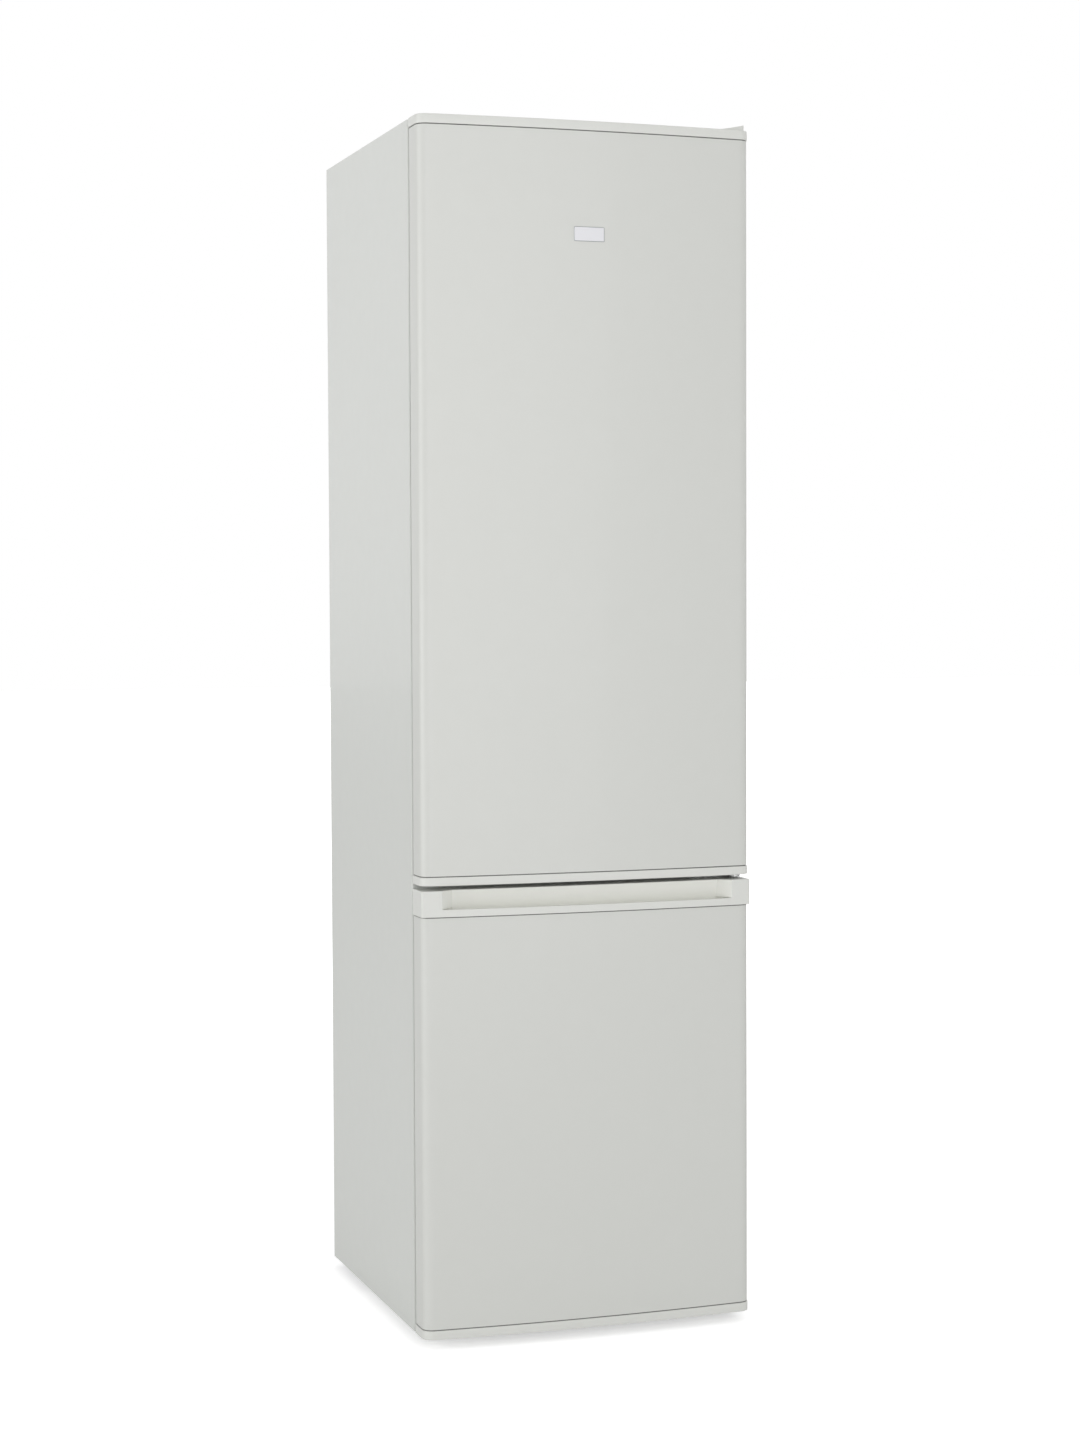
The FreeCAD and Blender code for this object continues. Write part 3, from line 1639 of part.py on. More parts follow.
def build_cabinet():
    right = side_panel()
    left = right.mirror(V(0, 0, 0), V(1, 0, 0))
    screws = hinge_screws()
    nuts = foot_nuts()
    top = top_panel()
    base = base_panel()
    rail = centre_rail()
    tray = compressor_tray()
    bracket_top = stepped_bracket(cabinet_height, 1)
    bracket_bottom = stepped_bracket(0, -1)
    bracket_middle = middle_hinge()
    for item in screws:
        top = top.cut(item)
        base = base.cut(item)
        rail = rail.cut(item)
        bracket_top = bracket_top.cut(item)
        bracket_bottom = bracket_bottom.cut(item)
        bracket_middle = bracket_middle.cut(item)
    freezer = freezer_liner()
    plate_low = fridge_floor + evaporator_margin
    plates = [
        evaporator(plate_low, plate_low + fridge_evaporator_height),
        evaporator(step_top + evaporator_margin, freezer_top - evaporator_margin),
    ]
    hollows = [fridge_cavity(liner_sheet), freezer_cavity(liner_sheet), freezer, rail]
    upper_foam, lower_foam = divided_foam(cabinet_foam(hollows + plates + screws + stud_holes()))
    save("side_panel_left", left)
    save("side_panel_right", right)
    save("top_panel", top)
    save("back_panel", back_panel())
    save("base_panel", base)
    save("bay_panel", bay_panel())
    save("compressor_tray", tray)
    save("centre_rail", rail)
    save("cabinet_foam", upper_foam)
    save("base_foam", lower_foam)
    save("fridge_liner", fridge_liner())
    save("freezer_liner", freezer)
    save("evaporator_plates", Part.Compound(plates))
    save("top_hinge", bracket_top)
    save("middle_hinge", bracket_middle)
    save("bottom_hinge", bracket_bottom)
    save("top_hinge_cover", top_hinge_cover())
    save("fasteners", Part.Compound(screws + nuts + mount_bolts()))


def build_interior():
    half = fridge_half - shelf_side_gap
    back = cavity_back - shelf_rear_gap
    panes = []
    trims = []
    for index in shelf_ledges:
        bottom = ledge_top(index)
        panes.append(shelf_glass(half, (shelf_setback, back), bottom))
        trims += shelf_trim(half, shelf_setback, back, bottom)
    save("crisper_cover", panes[0])
    pane_half = freezer_half - shelf_side_gap
    levels = freezer_levels()
    freezer_panes = [shelf_glass(pane_half, (freezer_shelf_setback, back), level) for level in levels]
    save("glass_shelves", Part.Compound(panes[1:] + freezer_panes))
    save("shelf_trims", Part.Compound(trims))
    save("crisper_drawer", crisper_drawer())
    save("control_housing", control_housing())
    save("lamp_cover", lamp_cover())
    save("lamp", lamp())
    save("thermostat_dial", thermostat_dial())

    floor = freezer_floor + seat_gap
    short = step_front - step_rear_gap
    save("freezer_drawer_lower", freezer_drawer(floor, levels[0] - drawer_top_gap, short))
    full = cavity_back - drawer_rear_gap
    low = levels[0] + glass + seat_gap
    save("freezer_drawer_middle", freezer_drawer(low, levels[1] - drawer_top_gap, full))
    low = levels[1] + glass + seat_gap
    save("freezer_drawer_upper", freezer_drawer(low, freezer_top - drawer_top_gap, full))


def build_upper_door():
    z = (upper_door_bottom, cabinet_height)
    seams = (upper_door_bottom + low_cap_height, cabinet_height - cap_height)
    sheet_panel = door_panel(seams)
    top_cap = end_cap(seams[1], z[1])
    low_cap = end_cap(seams[0], z[0])
    ridge_half = fridge_half - ridge_clearance
    ridge = (fridge_floor + ridge_end_clearance, fridge_top - ridge_end_clearance)
    margin = (z[0] + panel_end_margin, z[1] - panel_end_margin)
    panel = inner_door(margin, ridge, ridge_half, fridge_ridge_reach)
    lugs = []
    for share in bin_lift_shares:
        lugs += both_sides(bin_lug(share, ridge_half))
    core = ridge_core(ridge, ridge_half, fridge_ridge_reach)
    save("upper_door_panel", sheet_panel)
    save("upper_door_top_cap", top_cap)
    save("upper_door_bottom_cap", low_cap)
    save("upper_door_foam", door_foam(z, [sheet_panel, top_cap, low_cap], core))
    save("upper_door_liner", join([panel] + lugs))
    around = seal_past_opening + seal_width
    save("upper_door_seal", seal(fridge_floor - around, fridge_top + around))
    save("door_plate", name_plate())
    low, middle, top = bin_lift_shares
    save("door_bin_bottom", door_bin(low, low_bin_height, low_bin_reach, ridge_half))
    save("door_bin_middle", door_bin(middle, middle_bin_height, middle_bin_reach, ridge_half))
    save("door_bin_top", door_bin(top, top_bin_height, top_bin_reach, ridge_half))


def build_lower_door():
    z = (0, lower_door_height)
    seams = (cap_height, lower_door_height - handle_height)
    sheet_panel = door_panel(seams)
    low_cap = end_cap(seams[0], z[0])
    handle = handle_moulding()
    ridge_half = freezer_half - freezer_ridge_clearance
    ridge = (freezer_floor + ridge_end_clearance, freezer_top - ridge_end_clearance)
    margin = (z[0] + panel_end_margin, z[1] - panel_end_margin)
    core = ridge_core(ridge, ridge_half, freezer_ridge_reach)
    fill = door_foam((z[0], seams[1]), [sheet_panel, low_cap], core)
    save("lower_door_panel", sheet_panel)
    save("lower_door_bottom_cap", low_cap)
    save("handle_moulding", handle)
    save("lower_door_foam", join([fill, handle_core()]).cut(sheet_panel))
    save("lower_door_liner", inner_door(margin, ridge, ridge_half, freezer_ridge_reach))
    around = seal_past_opening + seal_width
    save("lower_door_seal", seal(freezer_floor - around, freezer_top + around))


def build_machinery():
    shell = compressor_shell()
    save("condenser_coil", condenser_coil())
    save("condenser_wires", condenser_wires())
    save("condenser_clips", condenser_clips())
    save("compressor_shell", shell)
    save("compressor_mounting_plate", mounting_plate())
    save("compressor_grommets", grommets())
    save("relay_cover", relay_cover(shell))
    save("evaporation_dish", evaporation_dish())
    save("filter_drier", filter_drier())
    save("refrigerant_pipes", refrigerant_pipes())


def build_supports():
    for name, (x, y) in zip(("front_foot_left", "front_foot_right"), foot_places()):
        save(name, levelling_foot(x, y))
    save("rear_roller_left", rear_roller(-1))
    save("rear_roller_right", rear_roller(1))
    save("roller_forks", Part.Compound([roller_fork(-1), roller_fork(1)]))


build_cabinet()
build_interior()
build_upper_door()
build_lower_door()
build_machinery()
build_supports()
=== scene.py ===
import json
import logging
import math
from collections.abc import Callable, Iterable
from dataclasses import dataclass
from enum import Enum

import bmesh
import bpy
from mathutils import Matrix, Vector


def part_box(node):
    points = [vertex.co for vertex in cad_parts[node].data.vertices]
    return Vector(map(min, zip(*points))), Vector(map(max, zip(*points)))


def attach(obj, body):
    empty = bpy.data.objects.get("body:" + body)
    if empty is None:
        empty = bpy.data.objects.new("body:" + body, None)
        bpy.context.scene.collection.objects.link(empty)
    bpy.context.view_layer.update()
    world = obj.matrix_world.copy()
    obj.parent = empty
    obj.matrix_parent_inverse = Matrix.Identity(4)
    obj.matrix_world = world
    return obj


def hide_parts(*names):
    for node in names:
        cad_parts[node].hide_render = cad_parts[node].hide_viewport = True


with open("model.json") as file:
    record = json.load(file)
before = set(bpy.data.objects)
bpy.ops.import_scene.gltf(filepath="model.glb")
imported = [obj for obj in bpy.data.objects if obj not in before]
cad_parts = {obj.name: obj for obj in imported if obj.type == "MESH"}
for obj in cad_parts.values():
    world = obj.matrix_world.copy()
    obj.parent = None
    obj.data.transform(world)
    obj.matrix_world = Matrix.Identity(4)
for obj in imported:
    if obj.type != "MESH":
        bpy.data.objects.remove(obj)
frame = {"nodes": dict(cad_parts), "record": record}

LOG = logging.getLogger("refrigerator")
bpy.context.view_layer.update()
MM = 0.001
QUARTER = math.pi / 2
SHARP_EDGE = math.radians(25)
FLAT_EDGE = math.radians(0.5)
UPRIGHT_SHARE = 0.9
WHITE = (1.0, 1.0, 1.0, 1.0)
Point = tuple[float, float]
Ring = list[Vector]
EdgeTest = Callable[[bmesh.types.BMEdge], bool]
FaceTest = Callable[[bpy.types.MeshPolygon], bool]
Sockets = dict[str, float | tuple[float, ...]]


class Body(Enum):
    """The bodies that the shown pieces ride on."""

    CABINET = "cabinet"
    UPPER_DOOR = "upper_door"
    LOWER_DOOR = "lower_door"
    BIN_BOTTOM = "bin_bottom"
    BIN_MIDDLE = "bin_middle"
    BIN_TOP = "bin_top"
    DIAL = "dial"
    FOOT_LEFT = "foot_left"
    FOOT_RIGHT = "foot_right"
    ROLLER_LEFT = "roller_left"
    ROLLER_RIGHT = "roller_right"


class Edges(Enum):
    """Which sharp edges of a copied CAD piece are rounded."""

    ALL = "all"
    STANDING = "standing"
    CREST = "crest"


# Finishes


class Graph:
    """The shader nodes of a material or of the world, with short ways to add and link them."""

    def __init__(self, owner: bpy.types.Material | bpy.types.World) -> None:
        """Switch on the owner's nodes.

        Args:
            owner: The material or the world.
        """
        owner.use_nodes = True
        self.nodes = owner.node_tree.nodes
        self.links = owner.node_tree.links

    def set(self, node: bpy.types.Node, sockets: Sockets) -> None:
        """Set values on a node's sockets.

        Args:
            node: The node.
            sockets: The values by the sockets' names.
        """
        for name, value in sockets.items():
            node.inputs[name].default_value = value

    def add(self, kind: str, sockets: Sockets | None = None) -> bpy.types.Node:
        """Add a node.

        Args:
            kind: Its type.
            sockets: The values by the sockets' names.

        Returns:
            The node.
        """
        node = self.nodes.new(kind)
        self.set(node, sockets or {})
        return node

    def link(self, source: bpy.types.Node, output: str, target: bpy.types.Node, socket: str | int) -> None:
        """Link one node to another.

        Args:
            source: The node that gives.
            output: Its output.
            target: The node that takes.
            socket: Its socket.
        """
        self.links.new(source.outputs[output], target.inputs[socket])

    def texture(self, kind: str, mapping: bpy.types.Node, sockets: Sockets) -> bpy.types.Node:
        """Add a texture.

        Args:
            kind: Its type.
            mapping: The node that gives its place.
            sockets: The values by the sockets' names.

        Returns:
            The texture's node.
        """
        node = self.add(kind, sockets)
        self.link(mapping, "Vector", node, "Vector")
        return node

    def combine(
        self, operation: str, first: bpy.types.NodeSocket, second: bpy.types.NodeSocket
    ) -> bpy.types.Node:
        """Add a node that works one value out of two.

        Args:
            operation: How it does so.
            first: The one output.
            second: The other output.

        Returns:
            The node.
        """
        node = self.add("ShaderNodeMath")
        node.operation = operation
        self.links.new(first, node.inputs[0])
        self.links.new(second, node.inputs[1])
        return node


@dataclass(frozen=True)
class Finish:
    """A coated or moulded surface: two close tones, a fine texture and slow changes of gloss."""

    name: str
    slot: str
    light: tuple[float, float, float]
    dark: tuple[float, float, float]
    gloss: tuple[float, float] = (0.3, 0.4)
    grain: float = 400.0
    grain_detail: float = 6.0
    relief: float = 0.02
    depth: float = 0.0002
    cloud: float = 3.0
    cloud_detail: float = 4.0
    metallic: float = 0.0
    coat: float = 0.0
    transmission: float = 0.0
    alpha: float = 1.0
    stretch: tuple[float, float, float] = (1.0, 1.0, 1.0)

    def build(self) -> bpy.types.Material:
        """Make the material.

        Returns:
            The node material, ready to assign.
        """
        material = bpy.data.materials.new(self.name)
        graph = Graph(material)
        shader = graph.nodes["Principled BSDF"]
        mapping = graph.add("ShaderNodeMapping", {"Scale": self.stretch})
        graph.link(graph.add("ShaderNodeTexCoord"), "Object", mapping, "Vector")
        cloud = {"Scale": self.cloud, "Detail": self.cloud_detail}
        clouds = graph.texture("ShaderNodeTexNoise", mapping, cloud)
        grain = {"Scale": self.grain, "Detail": self.grain_detail}
        fine = graph.texture("ShaderNodeTexNoise", mapping, grain)
        tones = graph.add("ShaderNodeMix")
        tones.data_type = "RGBA"
        graph.set(tones, {"A": (*self.light, 1.0), "B": (*self.dark, 1.0)})
        graph.link(clouds, "Fac", tones, "Factor")
        graph.link(tones, "Result", shader, "Base Color")
        gloss = graph.add("ShaderNodeMapRange", {"To Min": self.gloss[0], "To Max": self.gloss[1]})
        graph.link(clouds, "Fac", gloss, "Value")
        graph.link(gloss, "Result", shader, "Roughness")
        bump = graph.add("ShaderNodeBump", {"Strength": self.relief, "Distance": self.depth})
        graph.link(fine, "Fac", bump, "Height")
        graph.link(bump, "Normal", shader, "Normal")
        graph.set(shader, {"Metallic": self.metallic, "Coat Weight": self.coat})
        graph.set(shader, {"Transmission Weight": self.transmission, "Alpha": self.alpha})
        self.refine(graph, mapping, tones, bump)
        return material

    def refine(
        self, graph: Graph, mapping: bpy.types.Node, tones: bpy.types.Node, bump: bpy.types.Node
    ) -> None:
        """Add what a special finish needs. A plain one needs nothing.

        Args:
            graph: The material's nodes.
            mapping: The node that gives the place.
            tones: The node that mixes the two tones.
            bump: The bump node.
        """


@dataclass(frozen=True)
class ZincSheet(Finish):
    """Zinc-coated steel with its spangle of crystals."""

    spangle: float = 90.0

    def refine(
        self, graph: Graph, mapping: bpy.types.Node, tones: bpy.types.Node, bump: bpy.types.Node
    ) -> None:
        """Let each crystal take its own tone.

        Args:
            graph: The material's nodes.
            mapping: The node that gives the place.
            tones: The node that mixes the two tones.
            bump: The bump node.
        """
        crystals = graph.texture("ShaderNodeTexVoronoi", mapping, {"Scale": self.spangle})
        tone = graph.add("ShaderNodeSeparateColor")
        graph.link(crystals, "Color", tone, "Color")
        graph.link(tone, "Red", tones, "Factor")


@dataclass(frozen=True)
class FoamedPlastic(Finish):
    """Rigid foam with its cells showing."""

    cells: float = 260.0

    def refine(
        self, graph: Graph, mapping: bpy.types.Node, tones: bpy.types.Node, bump: bpy.types.Node
    ) -> None:
        """Raise the cells.

        Args:
            graph: The material's nodes.
            mapping: The node that gives the place.
            tones: The node that mixes the two tones.
            bump: The bump node.
        """
        texture = graph.texture("ShaderNodeTexVoronoi", mapping, {"Scale": self.cells})
        graph.link(texture, "Distance", bump, "Height")


class Palette:
    """Every finish of the refrigerator, and its painted light and shade, made once."""

    door_paint = Finish(
        "door_enamel", "door_paint", (0.634, 0.641, 0.613), (0.626, 0.634, 0.605),
        gloss=(0.38, 0.44), grain=700.0, relief=0.03, cloud=45.0, coat=0.06,
    )
    cabinet_paint = Finish(
        "cabinet_enamel", "cabinet_paint", (0.652, 0.666, 0.637), (0.643, 0.657, 0.628),
        gloss=(0.32, 0.4), grain=500.0, relief=0.08, cloud=45.0, coat=0.1,
    )
    cap_plastic = Finish(
        "cap_moulding", "cap_plastic", (0.692, 0.699, 0.668), (0.684, 0.691, 0.659),
        gloss=(0.36, 0.44), grain=1200.0, relief=0.06, cloud=60.0,
    )
    # Painted light: a lighter tone for the faces inside the handle's recess, standing in for light reaching
    # into it.
    recess = Finish(
        "recess_painted_light", "cap_plastic", (0.782, 0.786, 0.74), (0.774, 0.778, 0.731),
        gloss=(0.4, 0.5), grain=1200.0, relief=0.04, cloud=60.0,
    )
    # Painted shade: a dark tone for the seams' floors, standing in for the shade in the narrow gaps.
    seam_painted_shade = Finish(
        "seam_painted_shade", "cap_plastic", (0.16, 0.165, 0.155), (0.13, 0.135, 0.125),
        gloss=(0.5, 0.6), grain=900.0, relief=0.05, cloud=60.0,
    )
    plate = Finish(
        "plate_face", "plate_finish", (0.735, 0.735, 0.762), (0.715, 0.716, 0.745),
        gloss=(0.2, 0.3), grain=1500.0, relief=0.02, cloud=40.0,
    )
    plate_rim = Finish(
        "plate_rim", "plate_finish", (0.36, 0.37, 0.38), (0.32, 0.33, 0.34),
        gloss=(0.25, 0.35), grain=1500.0, relief=0.03, cloud=60.0, metallic=0.6,
    )
    zinc = ZincSheet(
        "zinc_sheet", "zinc_sheet", (0.5, 0.51, 0.52), (0.36, 0.37, 0.385),
        gloss=(0.42, 0.6), grain=300.0, relief=0.06, metallic=0.7,
    )
    foam = FoamedPlastic(
        "rigid_foam", "insulation", (0.78, 0.68, 0.42), (0.68, 0.57, 0.32),
        gloss=(0.75, 0.9), relief=0.5, depth=0.0008, cloud=20.0,
    )
    liner = Finish(
        "liner_sheet", "liner_plastic", (0.83, 0.84, 0.835), (0.824, 0.834, 0.829),
        gloss=(0.28, 0.31), grain=500.0, relief=0.015, cloud=50.0,
    )
    seal = Finish(
        "seal_profile", "seal_rubber", (0.44, 0.45, 0.445), (0.39, 0.4, 0.4),
        gloss=(0.5, 0.65), grain=900.0, relief=0.1, cloud=15.0,
    )
    plated = Finish(
        "plated_steel", "hinge_steel", (0.63, 0.63, 0.62), (0.52, 0.53, 0.53),
        gloss=(0.25, 0.4), grain=600.0, relief=0.08, cloud=30.0, metallic=1.0, stretch=(1.0, 6.0, 1.0),
    )
    lacquer = Finish(
        "black_lacquer", "black_lacquer", (0.024, 0.024, 0.026), (0.012, 0.012, 0.014),
        gloss=(0.25, 0.42), grain=500.0, relief=0.2, depth=0.0004, cloud=25.0,
    )
    black_plastic = Finish(
        "black_moulding", "black_plastic", (0.03, 0.03, 0.032), (0.018, 0.018, 0.02),
        gloss=(0.4, 0.6), grain=900.0, relief=0.2, cloud=30.0,
    )
    rubber = Finish(
        "black_rubber", "black_rubber", (0.026, 0.026, 0.026), (0.014, 0.014, 0.014),
        gloss=(0.6, 0.8), grain=800.0, relief=0.25, cloud=40.0,
    )
    copper = Finish(
        "copper_tube", "copper", (0.66, 0.32, 0.2), (0.42, 0.2, 0.13),
        gloss=(0.22, 0.45), relief=0.1, cloud=35.0, metallic=1.0,
    )
    glass = Finish(
        "shelf_glass", "shelf_glass", (0.88, 0.95, 0.93), (0.84, 0.93, 0.91),
        gloss=(0.02, 0.06), grain=200.0, relief=0.01, transmission=0.9, alpha=0.5,
    )
    trim = Finish(
        "trim_moulding", "trim_plastic", (0.8, 0.81, 0.8), (0.77, 0.78, 0.775),
        gloss=(0.3, 0.42), grain=1000.0, relief=0.06,
    )
    clear = Finish(
        "clear_moulding", "clear_plastic", (0.87, 0.93, 0.95), (0.83, 0.9, 0.93),
        gloss=(0.05, 0.12), grain=300.0, transmission=0.75, alpha=0.5,
    )
    frosted = Finish(
        "frosted_moulding", "drawer_plastic", (0.84, 0.9, 0.93), (0.8, 0.87, 0.905),
        gloss=(0.28, 0.42), grain=500.0, relief=0.05, transmission=0.3, alpha=0.85,
    )
    bulb = Finish(
        "bulb_glass", "lamp_glass", (0.95, 0.94, 0.88), (0.9, 0.88, 0.8),
        gloss=(0.15, 0.25), grain=300.0, transmission=0.5,
    )
    aluminium = Finish(
        "bonded_plate", "evaporator_metal", (0.7, 0.7, 0.7), (0.6, 0.6, 0.61),
        gloss=(0.3, 0.45), grain=500.0, relief=0.08, metallic=1.0,
    )
    # The plate rim is a real accent; the recess's lighter tone is painted light and the seam's dark tone is
    # painted shade.
    accents_and_painted_light_and_shade = (recess, seam_painted_shade, plate_rim)

    def __init__(self) -> None:
        """Start with no material made."""
        self.made: dict[str, bpy.types.Material] = {}

    def material(self, finish: Finish) -> bpy.types.Material:
        """Give the material of a finish, made when first asked for.

        Args:
            finish: The finish.

        Returns:
            Its material.
        """
        if finish.name not in self.made:
            self.made[finish.name] = finish.build()
        return self.made[finish.name]


PALETTE = Palette()


# Modelling


def arc(centre: Point, radius: float, start: float, end: float, steps: int) -> list[Point]:
    """Points along an arc.

    Args:
        centre: Its centre.
        radius: Its radius.
        start: Its first angle, in radians.
        end: Its last angle.
        steps: How many stretches it has.

    Returns:
        The points, both ends included.
    """
    angles = [start + (end - start) * step / steps for step in range(steps + 1)]
    return [(centre[0] + radius * math.cos(a), centre[1] + radius * math.sin(a)) for a in angles]


def rounded_rectangle(low: Point, high: Point, radius: float, steps: int = 6) -> list[Point]:
    """Outline of a rectangle with round corners, anticlockwise.

    Args:
        low: Its lowest corner.
        high: Its highest corner.
        radius: The corners' radius.
        steps: How many stretches each corner has.

    Returns:
        The outline's points.
    """
    corners = [
        (high[0] - radius, low[1] + radius, -0.5),
        (high[0] - radius, high[1] - radius, 0.0),
        (low[0] + radius, high[1] - radius, 0.5),
        (low[0] + radius, low[1] + radius, 1.0),
    ]
    points: list[Point] = []
    for x, y, turn in corners:
        points += arc((x, y), radius, turn * math.pi, (turn + 0.5) * math.pi, steps)
    return points


def circle(centre: Point, radius: float, sides: int = 32) -> list[Point]:
    """Outline of a circle.

    Args:
        centre: Its centre.
        radius: Its radius.
        sides: How many sides stand for it.

    Returns:
        The outline's points.
    """
    return arc(centre, radius, 0.0, 2 * math.pi * (sides - 1) / sides, sides - 1)


def quarter(steps: int) -> list[Point]:
    """Sines and cosines of even steps through a quarter turn.

    Args:
        steps: How many steps there are.

    Returns:
        The sine and the cosine of each angle, both ends included.
    """
    angles = [QUARTER * step / steps for step in range(steps + 1)]
    return [(math.sin(angle), math.cos(angle)) for angle in angles]


def at_x(outline: Iterable[Point], x: float) -> Ring:
    """An outline of Y and Z, set at a place along X."""
    return [Vector((x, y, z)) for y, z in outline]


def at_y(outline: Iterable[Point], y: float) -> Ring:
    """An outline of X and Z, set at a place along Y."""
    return [Vector((x, y, z)) for x, z in outline]


def at_z(outline: Iterable[Point], z: float) -> Ring:
    """An outline of X and Y, set at a height."""
    return [Vector((x, y, z)) for x, y in outline]


def node_box(node: str) -> tuple[Vector, Vector]:
    """The corners of a CAD node's box.

    Args:
        node: The node's name.

    Returns:
        Its lowest and highest corners.
    """
    low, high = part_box(node)
    return Vector(low), Vector(high)


class Piece:
    """One piece in the making: a bmesh, shaped by operators and then dressed."""

    def __init__(self, name: str, mesh: bpy.types.Mesh | None = None) -> None:
        """Start a piece.

        Args:
            name: The name of its object.
            mesh: The mesh that it starts from, if not from nothing.
        """
        self.name = name
        self.bm = bmesh.new()
        if mesh is not None:
            self.bm.from_mesh(mesh)

    def clean(self, reach: float) -> None:
        """Merge corners that lie together and drop edges within flat faces.

        Args:
            reach: How close merged corners lie.
        """
        bmesh.ops.remove_doubles(self.bm, verts=self.bm.verts, dist=reach)
        bmesh.ops.dissolve_limit(self.bm, angle_limit=FLAT_EDGE, verts=self.bm.verts, edges=self.bm.edges)

    def loop(self, points: Ring) -> list[bmesh.types.BMEdge]:
        """Add a closed loop of edges through the points.

        Args:
            points: The loop's points in order.

        Returns:
            The loop's edges.
        """
        verts = [self.bm.verts.new(point) for point in points]
        return [self.bm.edges.new((a, b)) for a, b in zip(verts, verts[1:] + verts[:1])]

    def stack(self, rings: Iterable[Ring]) -> None:
        """Bridge loops of points one after the other into a skin and close both ends.

        Args:
            rings: The loops in order, each with the same number of points.
        """
        loops = [self.loop(points) for points in rings]
        for first, second in zip(loops, loops[1:]):
            bmesh.ops.bridge_loops(self.bm, edges=first + second)
        for end in (loops[0], loops[-1]):
            bmesh.ops.contextual_create(self.bm, geom=end)

    def slab(self, low: Vector, high: Vector) -> None:
        """Add a box between two corners.

        Args:
            low: The lowest corner.
            high: The highest corner.
        """
        middle = Matrix.Translation((low + high) / 2)
        size = Matrix.Diagonal((*(high - low), 1.0))
        bmesh.ops.create_cube(self.bm, size=1.0, matrix=middle @ size)

    def soften(self, width: float, segments: int, wanted: EdgeTest | None = None) -> None:
        """Bevel the sharp edges that the test picks.

        Args:
            width: The bevel's width.
            segments: How many stretches it has.
            wanted: The test, or None for every sharp edge.
        """
        self.bm.normal_update()
        joined = [edge for edge in self.bm.edges if len(edge.link_faces) == 2]
        sharp = [edge for edge in joined if edge.calc_face_angle(0) > SHARP_EDGE]
        edges = [edge for edge in sharp if wanted is None or wanted(edge)]
        bmesh.ops.bevel(
            self.bm, geom=edges, offset=width, offset_type="OFFSET", segments=segments, profile=0.5,
            affect="EDGES", material=-1, clamp_overlap=True,
        )

    def tube(self, path: list[Vector], radius: float, bend: float, sides: int, steps: int) -> None:
        """Sweep a round section along straight runs joined by round bends.

        Args:
            path: The runs' corners.
            radius: The tube's radius.
            bend: The bends' radius.
            sides: How many sides the section has.
            steps: How many stretches a right-angled bend has.
        """
        heading = (path[1] - path[0]).normalized()
        across = heading.orthogonal().normalized()
        frames = [(path[0], across, heading.cross(across))]
        for before, corner, after in zip(path, path[1:], path[2:]):
            arrive = (corner - before).normalized()
            leave = (after - corner).normalized()
            turn = arrive.angle(leave)
            axis = arrive.cross(leave).normalized()
            arm = axis.cross(arrive) * -bend
            centre = corner - arrive * (bend * math.tan(turn / 2)) - arm
            count = max(1, round(steps * turn / QUARTER))
            first, second = frames[-1][1], frames[-1][2]
            for step in range(count + 1):
                spin = Matrix.Rotation(turn * step / count, 3, axis)
                frames.append((centre + spin @ arm, spin @ first, spin @ second))
        frames.append((path[-1], frames[-1][1], frames[-1][2]))
        section = circle((0.0, 0.0), radius, sides)
        shortest = MM / 10
        rings = []
        last = None
        for place, first, second in frames:
            if last is None or (place - last).length > shortest:
                rings.append([place + first * x + second * y for x, y in section])
                last = place
        self.stack(rings)

    def object(self, finish: Finish, smooth: float = 40.0, weighted: bool = False) -> bpy.types.Object:
        """Turn the bmesh into a finished object.

        Args:
            finish: The finish it wears.
            smooth: Edges sharper than this many degrees stay sharp.
            weighted: Whether large flat faces keep their own shading.

        Returns:
            The object.
        """
        bmesh.ops.recalc_face_normals(self.bm, faces=self.bm.faces)
        mesh = bpy.data.meshes.new(self.name)
        self.bm.to_mesh(mesh)
        self.bm.free()
        mesh.shade_smooth()
        mesh.set_sharp_from_angle(angle=math.radians(smooth))
        obj = bpy.data.objects.new(self.name, mesh)
        bpy.context.scene.collection.objects.link(obj)
        mesh.materials.append(PALETTE.material(finish))
        if weighted:
            shading = obj.modifiers.new("Shading", "WEIGHTED_NORMAL")
            shading.keep_sharp = True
        return obj


def shown(node: str, mesh: bpy.types.Mesh | None = None) -> Piece:
    """Start the piece that is shown in a CAD node's place.

    Args:
        node: The node's name.
        mesh: The mesh that it starts from, if not from nothing.

    Returns:
        The piece.
    """
    return Piece("shown_" + node, mesh)


def place(obj: bpy.types.Object, body: Body, *nodes: str) -> None:
    """Let a finished piece ride on its body and stand for its CAD nodes.

    Args:
        obj: The finished piece.
        body: The body it rides on.
        nodes: The CAD nodes it stands for.
    """
    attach(obj, body.value)
    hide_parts(*nodes)
    LOG.info("%s: %d faces", obj.name, len(obj.data.polygons))


def paint(obj: bpy.types.Object, finish: Finish, wanted: FaceTest) -> None:
    """Give the faces that the test picks a finish of their own.

    Args:
        obj: The piece.
        finish: The finish.
        wanted: The test.
    """
    obj.data.materials.append(PALETTE.material(finish))
    last = len(obj.data.materials) - 1
    for polygon in obj.data.polygons:
        if wanted(polygon):
            polygon.material_index = last


def carve(body: bpy.types.Object, cutters: list[bpy.types.Object]) -> Piece:
    """Cut shapes out of a body and clean the result.

    Args:
        body: The body; it is used up.
        cutters: The shapes cut out; they are used up.

    Returns:
        The carved piece under the body's name, open for more work.
    """
    for cutter in cutters:
        cut = body.modifiers.new(cutter.name, "BOOLEAN")
        cut.object = cutter
        cut.operation = "DIFFERENCE"
        cut.solver = "EXACT"
    shaped = bpy.data.meshes.new_from_object(body.evaluated_get(bpy.context.evaluated_depsgraph_get()))
    name = body.name
    for spare in (body, *cutters):
        bpy.data.objects.remove(spare)
    piece = Piece(name, shaped)
    piece.clean(MM / 50)
    return piece


# Doors


